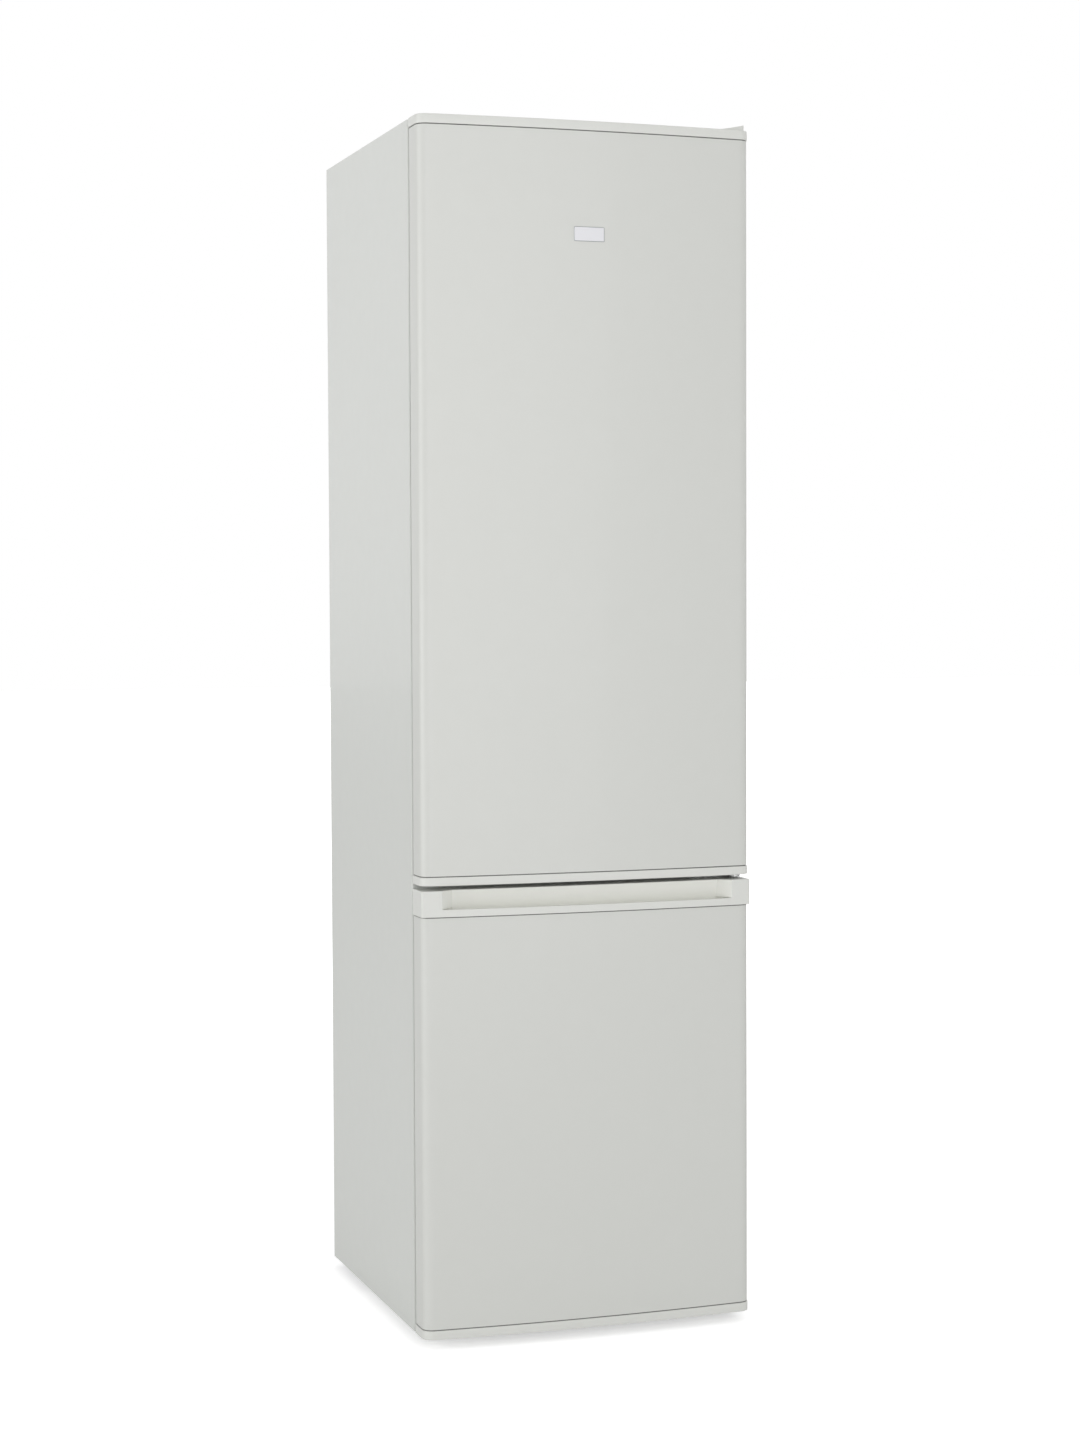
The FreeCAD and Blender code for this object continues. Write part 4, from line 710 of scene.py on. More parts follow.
@dataclass
class DoorShape:
    """The outline that every level of a door shares, seen from above."""

    half: float = 0.270
    bow: float = 0.0102
    rear: float = -0.2407
    corner_line: float = -0.2888
    corner: float = 0.016
    corner_steps: int = 12
    bow_steps: int = 48

    @property
    def bow_radius(self) -> float:
        """Radius of the bowed front."""
        return (self.half**2 + self.bow**2) / (2 * self.bow)

    @property
    def bow_centre(self) -> float:
        """Where the bow's centre lies along Y."""
        return self.corner_line - self.bow + self.bow_radius

    def bow_line(self, depth: float, x: float) -> float:
        """Where a line behind the bowed front lies along Y.

        Args:
            depth: How far it lies behind the front.
            x: How far it lies from the middle.

        Returns:
            Its place along Y.
        """
        return self.bow_centre - math.sqrt((self.bow_radius - depth) ** 2 - x**2)

    def depth(self, spot: Vector) -> float:
        """How far a spot lies behind the bowed front.

        Args:
            spot: The spot.

        Returns:
            The distance to the front.
        """
        return self.bow_radius - math.hypot(spot.x, spot.y - self.bow_centre)

    def outline(self, grow: float, rear: float, corner: float) -> list[Point]:
        """The door's outline, grown outwards.

        Args:
            grow: How far it is grown.
            rear: Where its flat rear lies.
            corner: The radius of its front corners.

        Returns:
            The outline's points, from the right rear round the front.
        """
        x = self.half - corner
        y = self.bow_line(corner, x)
        turn = math.atan2(y - self.bow_centre, x)
        right = arc((x, y), corner + grow, 0.0, turn, self.corner_steps)
        front = arc((0.0, self.bow_centre), self.bow_radius + grow, turn, -math.pi - turn, self.bow_steps)
        left = [(-px, py) for px, py in reversed(right)]
        return [(self.half + grow, rear)] + right + front[1:-1] + left + [(-self.half - grow, rear)]

    def level(self, grow: float, z: float, rear: float | None = None, corner: float | None = None) -> Ring:
        """The outline at a height.

        Args:
            grow: How far it is grown.
            z: The height.
            rear: Where its flat rear lies, if not at the door's rear.
            corner: The corners' radius, if not the door's own.

        Returns:
            The points.
        """
        rear = self.rear if rear is None else rear
        corner = self.corner if corner is None else corner
        return at_z(self.outline(grow, rear, corner), z)


@dataclass
class Door:
    """What both doors have: a sheet panel with turned-in returns and moulded end caps."""

    shape: DoorShape
    body: Body
    sheet: float = 0.0008
    return_width: float = 0.012
    cap_wall: float = 0.0025
    proud: float = 0.001
    seam_depth: float = 0.0009
    seam_height: float = 0.0016
    rim: float = 0.0007
    rim_steps: int = 4
    smooth: float = 35.0

    def panel(self, node: str, low: float, high: float) -> None:
        """Build the sheet panel round the front and sides.

        Args:
            node: The CAD node that it stands for.
            low: Its lower edge.
            high: Its upper edge.
        """
        rear = self.shape.rear - self.sheet
        outside = self.shape.outline(0.0, self.shape.rear, self.shape.corner)
        inside = self.shape.outline(-self.sheet, rear, self.shape.corner)
        lip = self.shape.half - self.return_width
        section = [(lip, self.shape.rear)] + outside + [(-lip, self.shape.rear), (-lip, rear)]
        section += list(reversed(inside)) + [(lip, rear)]
        piece = shown(node)
        piece.stack([at_z(section, z) for z in (low, high)])
        place(piece.object(Palette.door_paint, smooth=self.smooth), self.body, node)

    def seam_rings(self, seam: float, step: float) -> list[Ring]:
        """Rings along the recessed seam between a moulding and the panel.

        Args:
            seam: The height where they meet.
            step: The height where the moulding's skirt begins.

        Returns:
            The rings in order.
        """
        rear = self.shape.rear - self.seam_depth
        return [self.shape.level(-self.seam_depth, z, rear=rear) for z in (seam, step)]

    def rim_rings(self, end: float, way: int, corner: float | None = None) -> list[Ring]:
        """Rings that round a cap's skirt over into its end face.

        Args:
            end: The height of the end face.
            way: 1 if the end face looks up, -1 if it looks down.
            corner: The corners' radius, if not the door's own.

        Returns:
            The rings in order towards the end face.
        """
        rings = []
        for sine, cosine in quarter(self.rim_steps):
            grow = self.proud - self.rim * (1 - cosine)
            rings.append(self.shape.level(grow, end - way * self.rim * (1 - sine), corner=corner))
        return rings

    def cap(self, node: str, seam: float, end: float) -> None:
        """Build an end cap: a pocket for the insulation, a recessed seam and a proud skirt.

        Args:
            node: The CAD node that it stands for.
            seam: The height where it meets the panel.
            end: The height of its end face.
        """
        way = 1 if end > seam else -1
        step = seam + way * self.seam_height
        back = self.shape.rear - self.cap_wall
        rings = [self.shape.level(-self.cap_wall, z, rear=back) for z in (end - way * self.cap_wall, seam)]
        rings += self.seam_rings(seam, step)
        rings.append(self.shape.level(self.proud - self.sheet / 2, step))
        rings.append(self.shape.level(self.proud, step + way * self.sheet / 2))
        piece = shown(node)
        piece.stack(rings + self.rim_rings(end, way))
        obj = piece.object(Palette.cap_plastic, smooth=self.smooth)
        # Painted shade on the seam's floor.
        self.paint_seam_shade(obj, (seam + step) / 2)
        place(obj, self.body, node)

    def paint_seam_shade(self, obj: bpy.types.Object, middle: float) -> None:
        """Paint shade on the floor of a moulding's seam: a dark tone that stands in for the shade in the
        narrow gap.

        Args:
            obj: The moulding.
            middle: The height of the seam's middle.
        """

        def in_seam_shade(polygon: bpy.types.MeshPolygon) -> bool:
            """Whether a face is the seam's floor, which gets the painted shade."""
            upright = abs(polygon.normal.z) < 0.5
            return upright and abs(polygon.center.z - middle) < self.seam_height / 4

        paint(obj, Palette.seam_painted_shade, in_seam_shade)


@dataclass
class UpperDoor(Door):
    """The refrigerator's door, with its bare plate."""

    bottom: float = 0.7167
    top: float = 1.886
    low_seam: float = 0.7313
    top_seam: float = 1.8703
    plate_rim: float = 0.0009
    plate_corner: float = 0.0015
    face_corner: float = 0.0008

    def build(self) -> None:
        """Build the door's own pieces."""
        self.panel("upper_door_panel", self.low_seam, self.top_seam)
        self.cap("upper_door_top_cap", self.top_seam, self.top)
        self.cap("upper_door_bottom_cap", self.low_seam, self.bottom)
        self.plate()

    def plate(self) -> None:
        """Build the bare plate: a pale face inside a fine grey rim."""
        low, high = node_box("door_plate")
        outline = rounded_rectangle((low.x, low.z), (high.x, high.z), self.plate_corner)
        rim = self.plate_rim
        face = rounded_rectangle((low.x + rim, low.z + rim), (high.x - rim, high.z - rim), self.face_corner)
        front = low.y
        levels = [(outline, high.y), (outline, front + rim / 3), (face, front), (face, front + rim / 5)]
        piece = shown("door_plate")
        piece.stack([at_y(points, y) for points, y in levels])
        obj = piece.object(Palette.plate_rim, smooth=30.0)
        middle = (low.y + high.y) / 2
        paint(obj, Palette.plate, lambda face: len(face.vertices) > 4 and face.center.y < middle)
        place(obj, self.body, "door_plate")


@dataclass
class LowerDoor(Door):
    """The freezer's door, with the handle moulding along its top."""

    bottom: float = 0.016
    low_seam: float = 0.0317
    handle_seam: float = 0.6672
    top: float = 0.709
    handle_corner: float = 0.0025
    scoop_half: float = 0.239
    scoop_slant: float = 0.020
    lip_top: float = 0.680
    groove_floor: float = 0.6737
    depth_top: float = 0.012
    depth_low: float = 0.020
    lip_wall: float = 0.0035
    groove_inset: float = 0.0002
    groove_rise: float = 0.0006
    pocket_inset: float = 0.001
    pocket_reach: float = 0.005
    pocket_rise: float = 0.0012
    loft_top: float = 0.715
    edge_round: float = 0.0007
    edge_depth: float = 0.025

    def build(self) -> None:
        """Build the door's own pieces."""
        self.panel("lower_door_panel", self.low_seam, self.handle_seam)
        self.cap("lower_door_bottom_cap", self.low_seam, self.bottom)
        self.handle()

    def recess_back(self, depth: float, half: float) -> list[Point]:
        """The line of the recess's curved rear wall.

        Args:
            depth: How far it lies behind the bowed front.
            half: Its half width.

        Returns:
            Its points from right to left.
        """
        radius = self.shape.bow_radius - depth
        turn = math.asin(half / radius)
        centre = (0.0, self.shape.bow_centre)
        return arc(centre, radius, turn - QUARTER, -QUARTER - turn, self.shape.bow_steps)

    def cutter(self, name: str, rings: list[Ring]) -> bpy.types.Object:
        """A shape to cut away.

        Args:
            name: Its name.
            rings: Its rings in order.

        Returns:
            The cutter.
        """
        piece = Piece("cutter_" + name)
        piece.stack(rings)
        return piece.object(Palette.cap_plastic)

    def mouth(self) -> bpy.types.Object:
        """The cutter of the space open to the moulding's front and top.

        Returns:
            The cutter.
        """
        front = self.shape.corner_line - 2 * self.shape.bow
        edge = self.shape.bow_line(-self.proud, self.scoop_half)
        half = self.scoop_half
        ends = [(-half, edge), (-half, front), (half, front), (half, edge)]
        rings = []
        for depth, z in ((self.depth_low, self.lip_top), (self.depth_top, self.loft_top)):
            rings.append(at_z(self.recess_back(depth, half - self.scoop_slant) + ends, z))
        return self.cutter("mouth", rings)

    def groove(self) -> bpy.types.Object:
        """The cutter of the groove behind the lip.

        Returns:
            The cutter.
        """
        half = self.scoop_half - self.scoop_slant
        far = self.recess_back(self.depth_low - self.groove_inset, half)
        near = self.recess_back(self.lip_wall, half)
        section = far + list(reversed(near))
        levels = (self.groove_floor, self.lip_top + self.groove_rise)
        return self.cutter("groove", [at_z(section, z) for z in levels])

    def pocket(self, side: int) -> bpy.types.Object:
        """The cutter of the pocket where the groove runs under one slanted end of the recess.

        Args:
            side: 1 for the right end, -1 for the left end.

        Returns:
            The cutter.
        """
        slope = self.scoop_slant / self.depth_low
        inner = self.scoop_half - self.scoop_slant - self.pocket_inset
        corners = []
        for depth in (self.depth_low + self.pocket_inset, self.lip_wall):
            outer = self.scoop_half + self.pocket_reach - slope * depth
            corners.append([(side * x, self.shape.bow_line(depth, x)) for x in (inner, outer)])
        section = [*corners[0], *reversed(corners[1])]
        levels = (self.groove_floor + MM / 2, self.lip_top + self.pocket_rise)
        return self.cutter("pocket_right" if side > 0 else "pocket_left", [at_z(section, z) for z in levels])

    def handle(self) -> None:
        """Build the handle moulding, cut its finger recess, paint shade on its seam and paint light into the
        recess with a lighter tone.
        """
        step = self.handle_seam + self.seam_height
        back = self.shape.rear - self.cap_wall
        floor = -self.depth_low - self.cap_wall
        levels = (self.handle_seam + self.cap_wall, self.handle_seam)
        rings = [self.shape.level(floor, z, rear=back) for z in levels]
        rings += self.seam_rings(self.handle_seam, step)
        rings.append(self.shape.level(self.proud, step, corner=self.handle_corner))
        piece = shown("handle_moulding")
        piece.stack(rings + self.rim_rings(self.top, 1, self.handle_corner))
        cutters = [self.mouth(), self.groove(), self.pocket(1), self.pocket(-1)]
        finished = carve(piece.object(Palette.cap_plastic), cutters)
        finished.soften(self.edge_round, segments=3, wanted=self.on_recess_edge)
        obj = finished.object(Palette.cap_plastic, weighted=True)
        # Painted shade on the seam's floor.
        self.paint_seam_shade(obj, self.handle_seam + self.seam_height / 2)
        # Painted light: the recess faces get the lighter tone.
        paint(obj, Palette.recess, self.gets_recess_painted_light)
        place(obj, self.body, "handle_moulding")

    def gets_recess_painted_light(self, polygon: bpy.types.MeshPolygon) -> bool:
        """Whether a face lies inside the recess or its groove, where a lighter tone is painted as light.

        Args:
            polygon: The face.

        Returns:
            True if it does.
        """
        spot = polygon.center
        inside = 2 * MM < self.shape.depth(spot) < self.depth_low + 2 * MM and abs(spot.x) < self.scoop_half
        return inside and self.groove_floor - MM < spot.z < self.top - MM

    def on_recess_edge(self, edge: bmesh.types.BMEdge) -> bool:
        """Whether an edge runs round the recess's mouth and isn't the seam or the rim.

        Args:
            edge: The edge.

        Returns:
            True if it is to be rounded.
        """
        ends = [vert.co for vert in edge.verts]
        low = min(end.z for end in ends)
        high = max(end.z for end in ends)
        wide = max(abs(end.x) for end in ends)
        depth = max(self.shape.depth(end) for end in ends)
        if low < self.lip_top - MM / 2 or wide > self.scoop_half + MM:
            return False
        return depth < (self.lip_wall + MM if high < self.lip_top + 2 * MM else self.edge_depth)


# Interior


@dataclass
class DoorBin:
    """An open tray with a bowed front rail and a hook at each end."""

    node: str
    body: Body
    wall: float = 0.0025
    corner: float = 0.025
    corner_steps: int = 10
    bow: float = 0.005
    bow_steps: int = 24
    hook: float = 0.0055
    hook_rise: float = 0.022
    hook_height: float = 0.028
    hook_width: float = 0.022
    slot_height: float = 0.0143
    slot_width: float = 0.0106
    hook_setback: float = 0.015
    rim_round: float = 0.0008

    def outline(self, low: Vector, high: Vector, inset: float) -> list[Point]:
        """The tray's outline, drawn in by an inset.

        Args:
            low: The lowest corner of its box.
            high: The highest corner of its box.
            inset: How far it is drawn in.

        Returns:
            The outline's points.
        """
        half = high.x - self.hook - inset
        radius = self.corner - inset
        turn = half - radius
        far = high.y - self.bow - inset
        bow_radius = (turn**2 + self.bow**2) / (2 * self.bow)
        swing = math.asin(turn / bow_radius)
        right = arc((turn, far - radius), radius, 0.0, QUARTER, self.corner_steps)
        centre = (0.0, far + self.bow - bow_radius)
        front = arc(centre, bow_radius, QUARTER - swing, QUARTER + swing, self.bow_steps)
        left = [(-x, y) for x, y in reversed(right)]
        rear = low.y + inset
        return [(half, rear)] + right + front[1:-1] + left + [(-half, rear)]

    def build(self) -> None:
        """Build the tray and its hooks."""
        low, high = node_box(self.node)
        levels = [(self.wall, low.z + self.wall), (self.wall, high.z), (0.0, high.z), (0.0, low.z)]
        piece = shown(self.node)
        piece.stack([at_z(self.outline(low, high, inset), z) for inset, z in levels])
        middle = low.y + self.hook_setback
        foot = low.z + self.hook_rise
        top = min(foot + self.hook_height, high.z)
        wide, narrow = self.hook_width / 2, self.slot_width / 2
        notch = foot + self.slot_height
        profile = [
            (-wide, foot), (-wide, top), (wide, top), (wide, foot),
            (narrow, foot), (narrow, notch), (-narrow, notch), (-narrow, foot),
        ]
        hook = [(middle + y, z) for y, z in profile]
        for side in (-1, 1):
            piece.stack([at_x(hook, x) for x in (side * (high.x - self.hook), side * high.x)])
        piece.soften(self.rim_round, segments=2)
        place(piece.object(Palette.clear), self.body, self.node)


@dataclass
class Drawer:
    """A tub that widens to its top, with a finger slot along its front."""

    node: str
    finish: Finish
    taper: float
    front_wall: float
    wall: float = 0.0025
    corner: float = 0.008
    grip_share: float = 0.4
    grip_below: float = 0.016
    grip_height: float = 0.012
    grip_depth: float = 0.005
    edge_round: float = 0.0012

    def tub(self, low: Vector, high: Vector, inset: float, front: float, level: float) -> Ring:
        """One level of the tub.

        Args:
            low: The lowest corner of its box.
            high: The highest corner of its box.
            inset: How far its sides and rear are drawn in.
            front: How far its front is drawn in.
            level: The height.

        Returns:
            The level's points.
        """
        near = (-high.x + inset, low.y + front)
        far = (high.x - inset, high.y - inset)
        return at_z(rounded_rectangle(near, far, self.corner), level)

    def grip(self, low: Vector, high: Vector) -> bpy.types.Object:
        """The cutter of the finger slot.

        Args:
            low: The lowest corner of the tub's box.
            high: The highest corner of the tub's box.

        Returns:
            The cutter.
        """
        depth = self.grip_depth
        top = high.z - self.grip_below
        base = top - self.grip_height
        profile = [
            (-depth, base), (0.0, base), (depth, base + self.grip_height / 2), (depth, top),
            (-depth, top),
        ]
        section = [(low.y + y, z) for y, z in profile]
        reach = high.x * self.grip_share
        cutter = Piece("cutter_grip")
        cutter.stack([at_x(section, x) for x in (-reach, reach)])
        return cutter.object(self.finish)

    def build(self) -> None:
        """Build the tub."""
        low, high = node_box(self.node)
        rise = self.wall / (high.z - low.z)
        levels = [
            (self.taper * (1 - rise) + self.wall, self.front_wall, low.z + self.wall),
            (self.wall, self.front_wall, high.z), (0.0, 0.0, high.z), (self.taper, 0.0, low.z),
        ]
        piece = shown(self.node)
        piece.stack([self.tub(low, high, inset, front, z) for inset, front, z in levels])
        carved = carve(piece.object(self.finish), [self.grip(low, high)])
        carved.soften(self.edge_round, segments=3)
        place(carved.object(self.finish), Body.CABINET, self.node)


@dataclass
class Dial:
    """The thermostat's knob: a ribbed disc with a grip bar and a shaft."""

    radius: float = 0.015
    ribs: int = 40
    points_to_rib: int = 4
    rib_depth: float = 0.0005
    thickness: float = 0.010
    grip_height: float = 0.004
    grip_width: float = 0.005
    width_to_corner: float = 2.2
    grip_share: float = 0.8
    grip_crown: float = 0.9
    shaft: float = 0.003
    edge: float = 0.001

    def disc(self) -> list[Point]:
        """Outline of the ribbed disc round its axis.

        Returns:
            The outline's points.
        """
        count = self.points_to_rib * self.ribs
        points = []
        for index in range(count):
            angle = 2 * math.pi * index / count
            low = index % self.points_to_rib < self.points_to_rib / 2
            radius = self.radius - (self.rib_depth if low else 0.0)
            points.append((radius * math.cos(angle), radius * math.sin(angle)))
        return points

    def build(self) -> None:
        """Build the knob."""
        low, high = node_box("thermostat_dial")
        middle = ((low.x + high.x) / 2, (low.z + high.z) / 2)
        front = low.y + self.grip_height
        rear = low.y + self.thickness
        small = 1 - self.edge / self.radius
        rim = 1 - (1 - small) / 3
        disc = [(rear, 1.0), (front + self.edge, 1.0), (front + self.edge / 3, rim), (front, small)]
        half, reach = self.grip_width / 2, self.radius * self.grip_share
        grip = rounded_rectangle((-half, -reach), (half, reach), self.grip_width / self.width_to_corner)
        edge = self.edge / 2
        bar = [(front + edge, 1.0), (low.y + edge, 1.0), (low.y, self.grip_crown)]
        shaft = circle((0.0, 0.0), self.shaft)
        piece = shown("thermostat_dial")
        for section, levels in ((self.disc(), disc), (grip, bar), (shaft, [(rear, 1.0), (high.y, 1.0)])):
            rings = []
            for y, share in levels:
                rings.append(at_y([(middle[0] + x * share, middle[1] + z * share) for x, z in section], y))
            piece.stack(rings)
        place(piece.object(Palette.trim, smooth=30.0), Body.DIAL, "thermostat_dial")


@dataclass
class HingeCover:
    """The moulded ramp over the top hinge, round where it covers the pin."""

    low_rise: float = 0.001
    below_box: float = 0.003
    belly: float = 0.0009
    belly_steps: int = 16
    nose_radius: float = 0.012
    nose_steps: int = 10
    edge: float = 0.001
    edge_steps: int = 3

    def build(self) -> None:
        """Build the ramp."""
        low, high = node_box("top_hinge_cover")
        start = Vector((low.x, low.z + self.low_rise))
        end = Vector((high.x, high.z - self.below_box))
        chord = end - start
        radius = (chord.length / 2) ** 2 / (2 * self.belly) + self.belly / 2
        swing = math.asin(chord.length / 2 / radius)
        across = Vector((-chord.y, chord.x)).normalized()
        centre = (start + end) / 2 + across * (radius - self.belly)
        facing = math.atan2(-across.y, -across.x)
        ramp = arc((centre.x, centre.y), radius, facing - swing, facing + swing, self.belly_steps)
        profile = [(low.x, low.z)] + ramp + [(high.x, low.z)]
        nose = Vector((high.x, low.y))
        piece = shown("top_hinge_cover")
        piece.stack([at_y(profile, y) for y in (low.y, high.y)])
        piece.soften(
            self.nose_radius, segments=self.nose_steps,
            wanted=lambda edge: all((vert.co.xy - nose).length < MM for vert in edge.verts),
        )
        piece.soften(
            self.edge, segments=self.edge_steps,
            wanted=lambda edge: min(vert.co.z for vert in edge.verts) > low.z + MM / 2,
        )
        place(piece.object(Palette.cap_plastic, weighted=True), Body.CABINET, "top_hinge_cover")


@dataclass
class FridgeLiner:
    """The refrigerator's vacuum-formed inner box with its shelf ledges."""

    sheet: float = 0.002
    corner: float = 0.018
    corner_steps: int = 8
    back_corner: float = 0.014
    back_steps: int = 6
    first_ledge: float = 0.92085
    ledge_pitch: float = 0.105
    ledges: int = 7
    reach: float = 0.009
    height: float = 0.008
    nose_steps: int = 4
    end_share: float = 0.1
    ledge_front: float = -0.0792
    ledge_back: float = 0.2168
    gusset_lift: float = 0.0002

    def build(self) -> None:
        """Build the box, its ledges and the corners of its frame."""
        low, high = node_box("fridge_liner")
        inner = self.skin(low, high, self.sheet, self.corner)
        outer = self.skin(low, high, 0.0, self.corner + self.sheet)
        piece = shown("fridge_liner")
        piece.stack(list(reversed(inner)) + outer)
        for index in range(self.ledges):
            for side in (-1, 1):
                self.ledge(piece, side, high.x - self.sheet, self.first_ledge + index * self.ledge_pitch)
        for side in (-1, 1):
            self.gusset(piece, side, -1, Vector((high.x, low.y, low.z)))
            self.gusset(piece, side, 1, Vector((high.x, low.y, high.z)))
        place(piece.object(Palette.liner), Body.CABINET, "fridge_liner")

    def skin(self, low: Vector, high: Vector, inset: float, corner: float) -> list[Ring]:
        """One side of the sheet, from the mouth to the rear wall.

        Args:
            low: The lowest corner of the box.
            high: The highest corner of the box.
            inset: How far it is drawn in.
            corner: The radius of its long corners.

        Returns:
            The rings in order.
        """
        levels = [(low.y, 0.0)]
        for sine, cosine in quarter(self.back_steps):
            y = high.y - inset - self.back_corner * (1 - sine)
            levels.append((y, self.back_corner * (1 - cosine)))
        rings = []
        for y, curl in levels:
            near = (low.x + (inset + curl), low.z + (inset + curl))
            far = (high.x - (inset + curl), high.z - (inset + curl))
            radius = max(corner - curl, MM)
            rings.append(at_y(rounded_rectangle(near, far, radius, self.corner_steps), y))
        return rings

    def gusset(self, piece: Piece, side: int, rise: int, tip: Vector) -> None:
        """Fill one corner between the round mouth and the square frame.

        Args:
            piece: The piece it belongs to.
            side: -1 on the left, 1 on the right.
            rise: -1 at the bottom, 1 at the top.
            tip: The corner's tip on the right side, on the front plane.
        """
        radius = self.corner + self.sheet / 2
        middle = (tip.x - self.sheet / 2 - radius, tip.z - rise * (self.sheet / 2 + radius))
        curve = arc((0.0, 0.0), radius, 0.0, QUARTER, self.corner_steps)
        outline = [(tip.x, tip.z)] + [(middle[0] + x, middle[1] + rise * z) for x, z in curve]
        section = [(side * x, z) for x, z in outline]
        piece.stack([at_y(section, y) for y in (tip.y - self.gusset_lift, tip.y + self.sheet)])

    def ledge(self, piece: Piece, side: int, wall: float, top: float) -> None:
        """Add one ledge, whose front end is drawn in to the wall.

        Args:
            piece: The piece it belongs to.
            side: -1 on the left, 1 on the right.
            wall: How far the wall lies from the middle.
            top: The ledge's top.
        """
        root = wall + MM / 2
        nose = self.reach / 4
        profile = [(root, top - 2 * self.height), (wall - self.reach, top - self.height)]
        profile += arc((wall - self.reach + nose, top - nose), nose, math.pi, QUARTER, self.nose_steps)
        profile += [(root, top)]
        end = [(root - (root - x) * self.end_share, z) for x, z in profile]
        front = self.ledge_front
        levels = ((end, front), (profile, front + self.reach), (profile, self.ledge_back))
        piece.stack([at_y([(side * x, z) for x, z in outline], y) for outline, y in levels])


# Pieces that keep their CAD shape with rounded edges


def standing(edge: bmesh.types.BMEdge) -> bool:
    """Whether an edge stands upright or nearly so.

    Args:
        edge: The edge.

    Returns:
        True if it does.
    """
    first, second = (vert.co for vert in edge.verts)
    return abs(first.z - second.z) > UPRIGHT_SHARE * (first - second).length


@dataclass
class Eased:
    """A piece that keeps its CAD shape, copied so that its edges can be rounded."""

    node: str
    finish: Finish
    width: float
    body: Body = Body.CABINET
    edges: Edges = Edges.ALL
    segments: int = 2
    smooth: float = 35.0

    def picked(self, piece: Piece) -> EdgeTest | None:
        """The test for the edges that are rounded.

        Args:
            piece: The copied piece.

        Returns:
            The test, or None for every sharp edge.
        """
        if self.edges is Edges.ALL:
            return None
        if self.edges is Edges.STANDING:
            return standing
        crest = max(vert.co.y for vert in piece.bm.verts)
        return lambda edge: min(vert.co.y for vert in edge.verts) > crest - MM

    def build(self) -> None:
        """Copy the piece, clean it and round its edges."""
        piece = shown(self.node, frame["nodes"][self.node].data)
        piece.clean(MM / 100)
        piece.soften(self.width, self.segments, self.picked(piece))
        place(piece.object(self.finish, smooth=self.smooth, weighted=True), self.body, self.node)


# Machinery at the back


@dataclass
class Condenser:
    """The serpentine tube with upright wires welded to both of its faces."""

    half: float = 0.218
    base: float = 0.336
    pitch: float = 0.080
    runs: int = 17
    lane: float = 0.296
    tube_radius: float = 0.0024
    tube_sides: int = 12
    bend_steps: int = 8
    wire_radius: float = 0.0008
    wire_sides: int = 8
    wires: int = 22
    overhang: float = 0.014

    @property
    def top(self) -> float:
        """Height of the highest run."""
        return self.base + (self.runs - 1) * self.pitch

    def build(self) -> None:
        """Build the tube and its wires."""
        end = self.half + self.pitch / 2
        path = [Vector((self.half, self.lane, self.base))]
        for index in range(self.runs - 1):
            side = 1 if index % 2 else -1
            height = self.base + index * self.pitch
            path.append(Vector((side * end, self.lane, height)))
            path.append(Vector((side * end, self.lane, height + self.pitch)))
        path.append(Vector((-self.half, self.lane, self.top)))
        coil = shown("condenser_coil")
        coil.tube(path, self.tube_radius, self.pitch / 2, self.tube_sides, self.bend_steps)
        place(coil.object(Palette.lacquer, smooth=60.0), Body.CABINET, "condenser_coil")
        grid = shown("condenser_wires")
        reach = self.half - 2 * self.wire_radius
        away = self.tube_radius + self.wire_radius
        for index in range(self.wires):
            x = reach * (2 * index / (self.wires - 1) - 1)
            for side in (-1, 1):
                wire = circle((x, self.lane + side * away), self.wire_radius, self.wire_sides)
                grid.stack([at_z(wire, z) for z in (self.base - self.overhang, self.top + self.overhang)])
        place(grid.object(Palette.lacquer, smooth=60.0), Body.CABINET, "condenser_wires")


